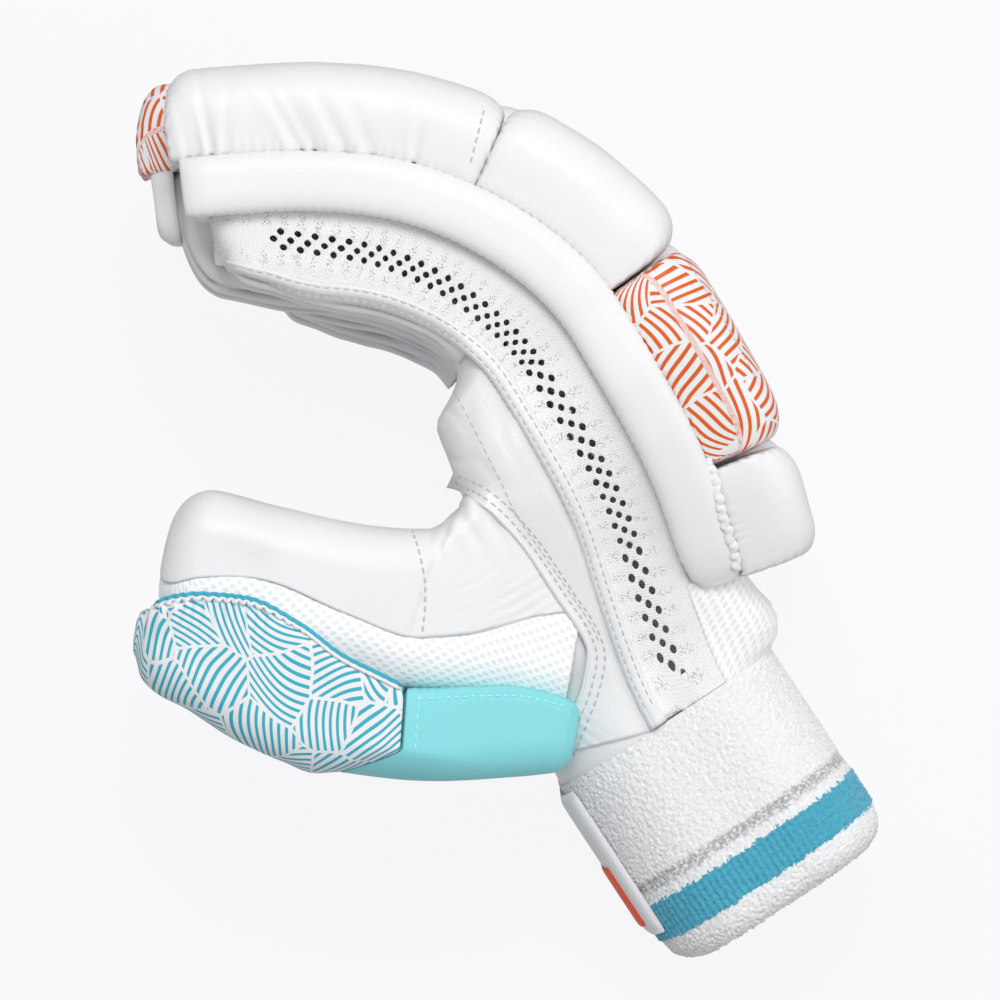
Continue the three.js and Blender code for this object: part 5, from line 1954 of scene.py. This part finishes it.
def drop(tree, places, lift=0.0, miss=0.0):
    """The points of the pieces right under places in x and y, and their normals."""
    points = []
    normals = []
    for x, y in places:
        hit, normal, _, _ = tree.ray_cast(Vector((x, y, 200)), Vector((0, 0, -1)))
        if hit is None:
            hit = Vector((x, y, miss))
            normal = Vector((0, 0, 1))
        if normal.z < 0:
            normal = -normal
        points.append(hit + normal * lift)
        normals.append(normal)
    return np.array(points), np.array(normals)


def beads(points, normals, long, thick, gap):
    """Short round-ended stitches along a line of points: vertices and faces."""
    length = run_length(points)
    vertices = []
    faces = []
    shape = ((-0.5, 0.15), (-0.42, 0.75), (-0.2, 1.0), (0.2, 1.0), (0.42, 0.75), (0.5, 0.15))
    at = gap
    while at < length[-1] - gap:
        centre = np.array([np.interp(at, length, points[:, k]) for k in range(3)])
        ahead = np.array([np.interp(at + 0.4, length, points[:, k]) for k in range(3)])
        normal = np.array([np.interp(at, length, normals[:, k]) for k in range(3)])
        along = unit(ahead - centre)
        side = unit(np.cross(normal, along))
        up = np.cross(along, side)
        start = len(vertices)
        for place, fat in shape:
            for k in range(6):
                angle = math.pi * k / 3
                ring = side * math.cos(angle) + 0.8 * up * math.sin(angle)
                sink = up * (0.25 * thick * (1 - fat))
                vertices.append(centre + along * place * long + ring * fat * thick / 2 - sink)
        for row in range(len(shape) - 1):
            for k in range(6):
                a = start + row * 6 + k
                b = start + row * 6 + (k + 1) % 6
                faces.append((a, b, b + 6, a + 6))
        faces.append(tuple(start + k for k in range(5, -1, -1)))
        faces.append(tuple(start + (len(shape) - 1) * 6 + k for k in range(6)))
        at += long + gap
    return vertices, faces


def tube(points, radius, sides=10, flat=1.0):
    """A grid round a line, with its own radius at each point. flat squashes its height."""
    along = unit(np.gradient(points, axis=0))
    side = unit(np.cross((0.0, 0.0, 1.0), along))
    up = np.cross(along, side)
    angle = np.linspace(0, 2 * math.pi, sides, endpoint=False)
    ring = (side[:, None] * np.cos(angle)[None, :, None]
            + flat * up[:, None] * np.sin(angle)[None, :, None])
    return points[:, None] + ring * np.asarray(radius)[:, None, None]


class GLOVE_OT_collar(Operator):
    """Builds the palm's leather collar that laps over the thumb's root."""

    bl_idname = "glove.collar"
    bl_label = "Collar"

    def execute(self, context):
        edge = curve_through(COLLAR_EDGE, 0.9)
        count = len(edge)
        s = np.linspace(108, -0.6, count)
        hem_n = gusset_far(INDEX, s) + HEM_OVER - HEM_WIDTH + 1.2
        hem = hand_point(s, hem_n, wall_high(hand_box(s), hem_n))
        columns = np.linspace(0, 1, 46) ** 1.15
        places = lerp(edge[:, None, :], hem[:, None, :2], columns[None, :, None])
        tree = tree_of(("palm_leather_wall", "thumb_leather_wall", "thumb_mesh_wall"))
        ground, _ = drop(tree, places.reshape(-1, 2), miss=60)
        base = ground[:, 2].reshape(count, -1)
        z = base.copy()
        for _ in range(DRAPE_PASSES):
            soft = z.copy()
            soft[1:-1] = 0.25 * z[:-2] + 0.5 * z[1:-1] + 0.25 * z[2:]
            soft[:, 1:-1] = (
                0.25 * soft[:, :-2] + 0.5 * soft[:, 1:-1] + 0.25 * soft[:, 2:])
            z = np.maximum(soft, base)
        fade = ease(np.arange(count), 2, 14)[:, None]
        lift = lerp(-0.8, 1.0, fade) + 0.5 * np.exp(-columns / 0.04)[None, :] * fade
        inner = ease(columns, 1.0, 0.72)[None, :]
        z = z + lift * lerp(0.2, 1.0, inner)
        points = np.concatenate([places, z[..., None]], axis=2)
        x, y = points[..., 0], points[..., 1]
        gathers = 0.35 * bell(y - 12, 9) * ease(x, -14, -24) * np.sin(1.9 * x + 0.9 * y)
        points[..., 2] += (lumps(points, 111, (0.25, 13), (0.1, 5)) + gathers) * fade
        piece = surface("palm_collar", points, finishes["hide"], toward=(0, 0, 1), wall=1.4)
        finish_piece(piece)
        return {"FINISHED"}


class GLOVE_OT_seams(Operator):
    """Sews the visible stitch lines."""

    bl_idname = "glove.seams"
    bl_label = "Stitching"

    def execute(self, context):
        sizes = context.scene.glove_sizes
        long = sizes.stitch / MM
        thick = sizes.thread / MM
        top = tree_of(("palm_collar", "palm_leather_wall", "thumb_leather_wall"))
        collar = curve_through(COLLAR_EDGE[1:], 0.6)
        rolls = tree_of(("index_tip_roll_cover", "index_mid_roll_cover", "index_side_bar_cover"))
        knuckle = tree_of(("index_knuckle_roll_cover", "index_wrist_roll_cover"))
        hem_tree = tree_of(("radial_hem_roll",))
        s = np.linspace(4, 236, 400)
        runs = [
            ("collar_stitches", top, offset_line(collar, 2.0), 0.72),
            ("collar_inner_stitches", top, offset_line(collar, 4.4), 0.72),
            ("palm_stitches", top, curve_through(PALM_STITCH, 0.6), 0.5),
            ("thumb_stitches", top, curve_through(THUMB_SEAM, 0.6), 0.85),
            ("roll_stitches", rolls, curve_through(ROLL_STITCH, 0.6), 0.75),
        ]
        for name, set_in in (("hem_stitches", 1.5), ("hem_inner_stitches", 3.9)):
            n = gusset_far(INDEX, s) + HEM_OVER - set_in
            line = hand_point(s, n, wall_high(tip_box(INDEX, s), n))[:, :2]
            runs.append((name, hem_tree, line, 0.7))
        line = hand_point(np.linspace(0.3, 0.45, 120) * FINGER_LENGTH, 22.5, 0)[:, :2]
        runs.append(("knuckle_stitches", knuckle, line, 0.6))
        for name, tree, line, fat in runs:
            vertices, faces = self.sewn(tree, line, 0.1, 20, 0.9 * long, thick * fat / 0.72, long)
            piece = mesh_object(name, place_of(vertices), faces, finishes["thread"])
            finish_piece(piece)
        self.pad_seams(long, thick)
        return {"FINISHED"}

    def pad_seams(self, long, thick):
        """Dash stitches on the base pad, along its lapping edge and its outer end."""
        tree = tree_of(("thumb_base_pad_cover",))
        at = np.linspace(0.05, 0.395, 160)
        t = at * THUMB_LENGTH
        n = BASE_PAD["edge"](at) * THUMB_DEPTH / 2 + STITCH_SET_IN
        along = thumb_point(t + BASE_PAD["lean"](at) * split_shift(n), n, 0)[:, :2]
        n_end = np.linspace(25, 42, 70)
        t_end = 0.405 * THUMB_LENGTH - 3.2 + split_shift(n_end)
        down = thumb_point(t_end, n_end, 0)[:, :2]
        for name, line in (("base_pad_edge_stitches", along), ("base_pad_end_stitches", down)):
            vertices, faces = self.sewn(tree, line, 0.05, 90, 0.85 * long, 1.1 * thick, long)
            piece = mesh_object(name, place_of(vertices), faces, finishes["pad_thread"])
            finish_piece(piece)

    def sewn(self, tree, line, lift, lowest, long, thick, pitch):
        """Stitches where a line crosses the pieces of a tree, above the lowest height."""
        points, normals = drop(tree, line, lift)
        keep = points[:, 2] > lowest
        return beads(points[keep], normals[keep], long, thick, 0.45 * pitch)


def offset_line(line, by):
    """A line moved sideways, to the right of its run."""
    along = unit(np.gradient(line, axis=0))
    return line - by * np.stack([along[:, 1], -along[:, 0]], axis=-1)


class GLOVE_OT_trim(Operator):
    """Builds the gathered binding by the wrist roll and the piping of the thumb pad."""

    bl_idname = "glove.trim"
    bl_label = "Binding and piping"

    def execute(self, context):
        self.binding(context.scene.glove_sizes)
        self.piping(context.scene.glove_sizes)
        return {"FINISHED"}

    def binding(self, sizes):
        tree = tree_of(("index_side_bar_cover", "index_wrist_roll_cover", "wrist_mesh"))
        line = curve_through(BINDING, 0.25)
        points, _ = drop(tree, line, 0.3, miss=112)
        points[:, 2] = np.convolve(
            np.pad(points[:, 2], 20, mode="edge"), np.ones(41) / 41, mode="valid")
        at = np.arange(len(line)) * 0.25
        wave = ripple(at, 3.6, 1.2 * np.sin(at / 2.7))
        swing = offset_line(line, 1.0) - line
        points[:, :2] += swing * (0.28 * wave)[:, None]
        points[:, 2] += 0.7 + 0.15 * ripple(at, 2.9)
        ends = np.clip(np.minimum(at, at[-1] - at) / 1.5, 0.1, 1)
        radius = (1.35 + 0.16 * ripple(at, 2.4, wave) * sizes.crease) * ends
        grid = tube(points, radius, sides=16, flat=0.45)
        piece = surface("wrist_binding", grid, finishes["hide"], wrap=True, caps=True)
        finish_piece(piece)

    def piping(self, sizes):
        at = np.linspace(0.418, 0.995, 900)
        t = at * THUMB_LENGTH
        n = TIP_PAD["edge"](at) * THUMB_DEPTH / 2
        lean = TIP_PAD["lean"](at)
        reach = THUMB_WIDTH / 2 + THUMB_PAD_EDGE * (2 * TIP_PAD["side"](at) - 1)
        high = thumb_centre(t) + reach
        ruck = ease(at, 0.6, 0.75) * sizes.crease
        wave = ripple(t, 2.6, 1.5 * np.sin(t / 3.3))
        for name, look, slot, shift, drop_by, thin in (
            ("thumb_piping", "piping", "cyan_print", -0.3, 0.9, 0.75),
            ("thumb_raw_edge", "hide", "white_leather", 0.75, 0.35, 0.6),
        ):
            line = thumb_point(
                t + lean * split_shift(n), n + shift + 0.35 * ruck * wave,
                high - drop_by)
            ends = np.clip(np.minimum(at - at[0], at[-1] - at) / 0.01, 0.2, 1)
            radius = (thin + 0.16 * wave * (0.4 + ruck)) * ends
            piece = surface(name, tube(line, radius), finishes[look], wrap=True, caps=True)
            finish_piece(piece)


BAND_ROWS = 60


class GLOVE_OT_strap(Operator):
    """Builds the closing strap and its two bare panels."""

    bl_idname = "glove.strap"
    bl_label = "Strap"

    def execute(self, context):
        top = -STRAP_SET_BACK
        strap = self.band(GAP, STRAP_THICKNESS, (1, 150), (2, 225), top, STRAP_WIDTH)
        piece = surface("wrist_strap_band", strap, finishes["white"], wrap=True, caps=True)
        finish_piece(piece, ["wrist_strap"])
        over = GAP + STRAP_THICKNESS - 0.05
        low = top - LABEL_SET_BACK
        panels = (
            ("strap_label_front", "label", "label_orange", (1, 163), (1, 180)),
            ("strap_label_back", "black", "label_black", (1, 180), (2, 180)),
        )
        for node, look, slot, first, last in panels:
            grid = self.band(over, LABEL_THICKNESS, first, last, low, LABEL_LENGTH)
            panel = surface(node + "_panel", grid, finishes[look], wrap=True, caps=True)
            finish_piece(panel, [node])
        return {"FINISHED"}

    def band(self, inner, thick, first, last, top, length):
        """A band with soft edges round part of the cuff. first and last each give a corner of
        the cuff's outline and an angle on it, in degrees."""
        ring_in = dense_ring(grow(cuff_box(), inner))
        ring_out = dense_ring(grow(cuff_box(), inner + thick))
        rows = []
        edge = np.linspace(-1, 1, 25)
        y_edge = top - length / 2 + edge * length / 2
        for share in np.linspace(0, 1, BAND_ROWS):
            ends = []
            for n, z, arc in (ring_in, ring_out):
                at = lerp(corner_arc(arc, *first), corner_arc(arc, *last), share)
                ends.append((np.interp(at, arc, n), np.interp(at, arc, z)))
            (n_in, z_in), (n_out, z_out) = ends
            close = min(share, 1 - share) * (BAND_ROWS - 1)
            pinch = 1.0 if close >= 2 else 0.45 + 0.275 * close
            up = 0.5 + 0.5 * pinch * np.clip(1 - np.abs(edge) ** 14, 0, 1) ** 0.5
            down = 1 - up
            n = np.concatenate([lerp(n_in, n_out, up), lerp(n_in, n_out, down)[::-1]])
            z = np.concatenate([lerp(z_in, z_out, up), lerp(z_in, z_out, down)[::-1]])
            y = np.concatenate([y_edge, y_edge[::-1]])
            rows.append(hand_point(y, n, np.maximum(z, 0.05)))
        return np.array(rows)


def corner_arc(arc, corner, angle):
    """Arc length of an angle on one corner of a dense ring."""
    share = (angle - 90 * corner) / 90
    spot = 1 + CORNER_POINTS * corner + share * (CORNER_POINTS - 1)
    return np.interp(spot, np.arange(len(arc)), arc)


class GLOVE_PT_panel(Panel):
    """Lists the sizes, the colours and the building steps."""

    bl_idname = "GLOVE_PT_panel"
    bl_label = "Batting glove"
    bl_space_type = "VIEW_3D"
    bl_region_type = "UI"
    bl_category = "Glove"

    def draw(self, context):
        layout = self.layout
        for group in (context.scene.glove_sizes, context.scene.glove_colours):
            box = layout.box()
            for name in group.__annotations__:
                box.prop(group, name)
        for operator in OPERATORS:
            layout.operator(operator.bl_idname)


OPERATORS = (
    GLOVE_OT_stage,
    GLOVE_OT_rolls,
    GLOVE_OT_bars,
    GLOVE_OT_hand,
    GLOVE_OT_knit,
    GLOVE_OT_thumb,
    GLOVE_OT_pads,
    GLOVE_OT_cuff,
    GLOVE_OT_wrist,
    GLOVE_OT_strap,
    GLOVE_OT_collar,
    GLOVE_OT_seams,
    GLOVE_OT_trim,
)
CLASSES = (GloveSizes, GloveColours, *OPERATORS, GLOVE_PT_panel)


def register():
    for cls in CLASSES:
        bpy.utils.register_class(cls)
    bpy.types.Scene.glove_sizes = PointerProperty(type=GloveSizes)
    bpy.types.Scene.glove_colours = PointerProperty(type=GloveColours)


def unregister():
    del bpy.types.Scene.glove_colours
    del bpy.types.Scene.glove_sizes
    for cls in reversed(CLASSES):
        bpy.utils.unregister_class(cls)


def main():
    register()
    bpy.ops.glove.stage()
    bpy.ops.glove.rolls()
    bpy.ops.glove.bars()
    bpy.ops.glove.hand()
    bpy.ops.glove.knit()
    bpy.ops.glove.thumb()
    bpy.ops.glove.pads()
    bpy.ops.glove.cuff()
    bpy.ops.glove.wrist()
    bpy.ops.glove.strap()
    bpy.ops.glove.collar()
    bpy.ops.glove.seams()
    bpy.ops.glove.trim()


if __name__ == "__main__":
    main()
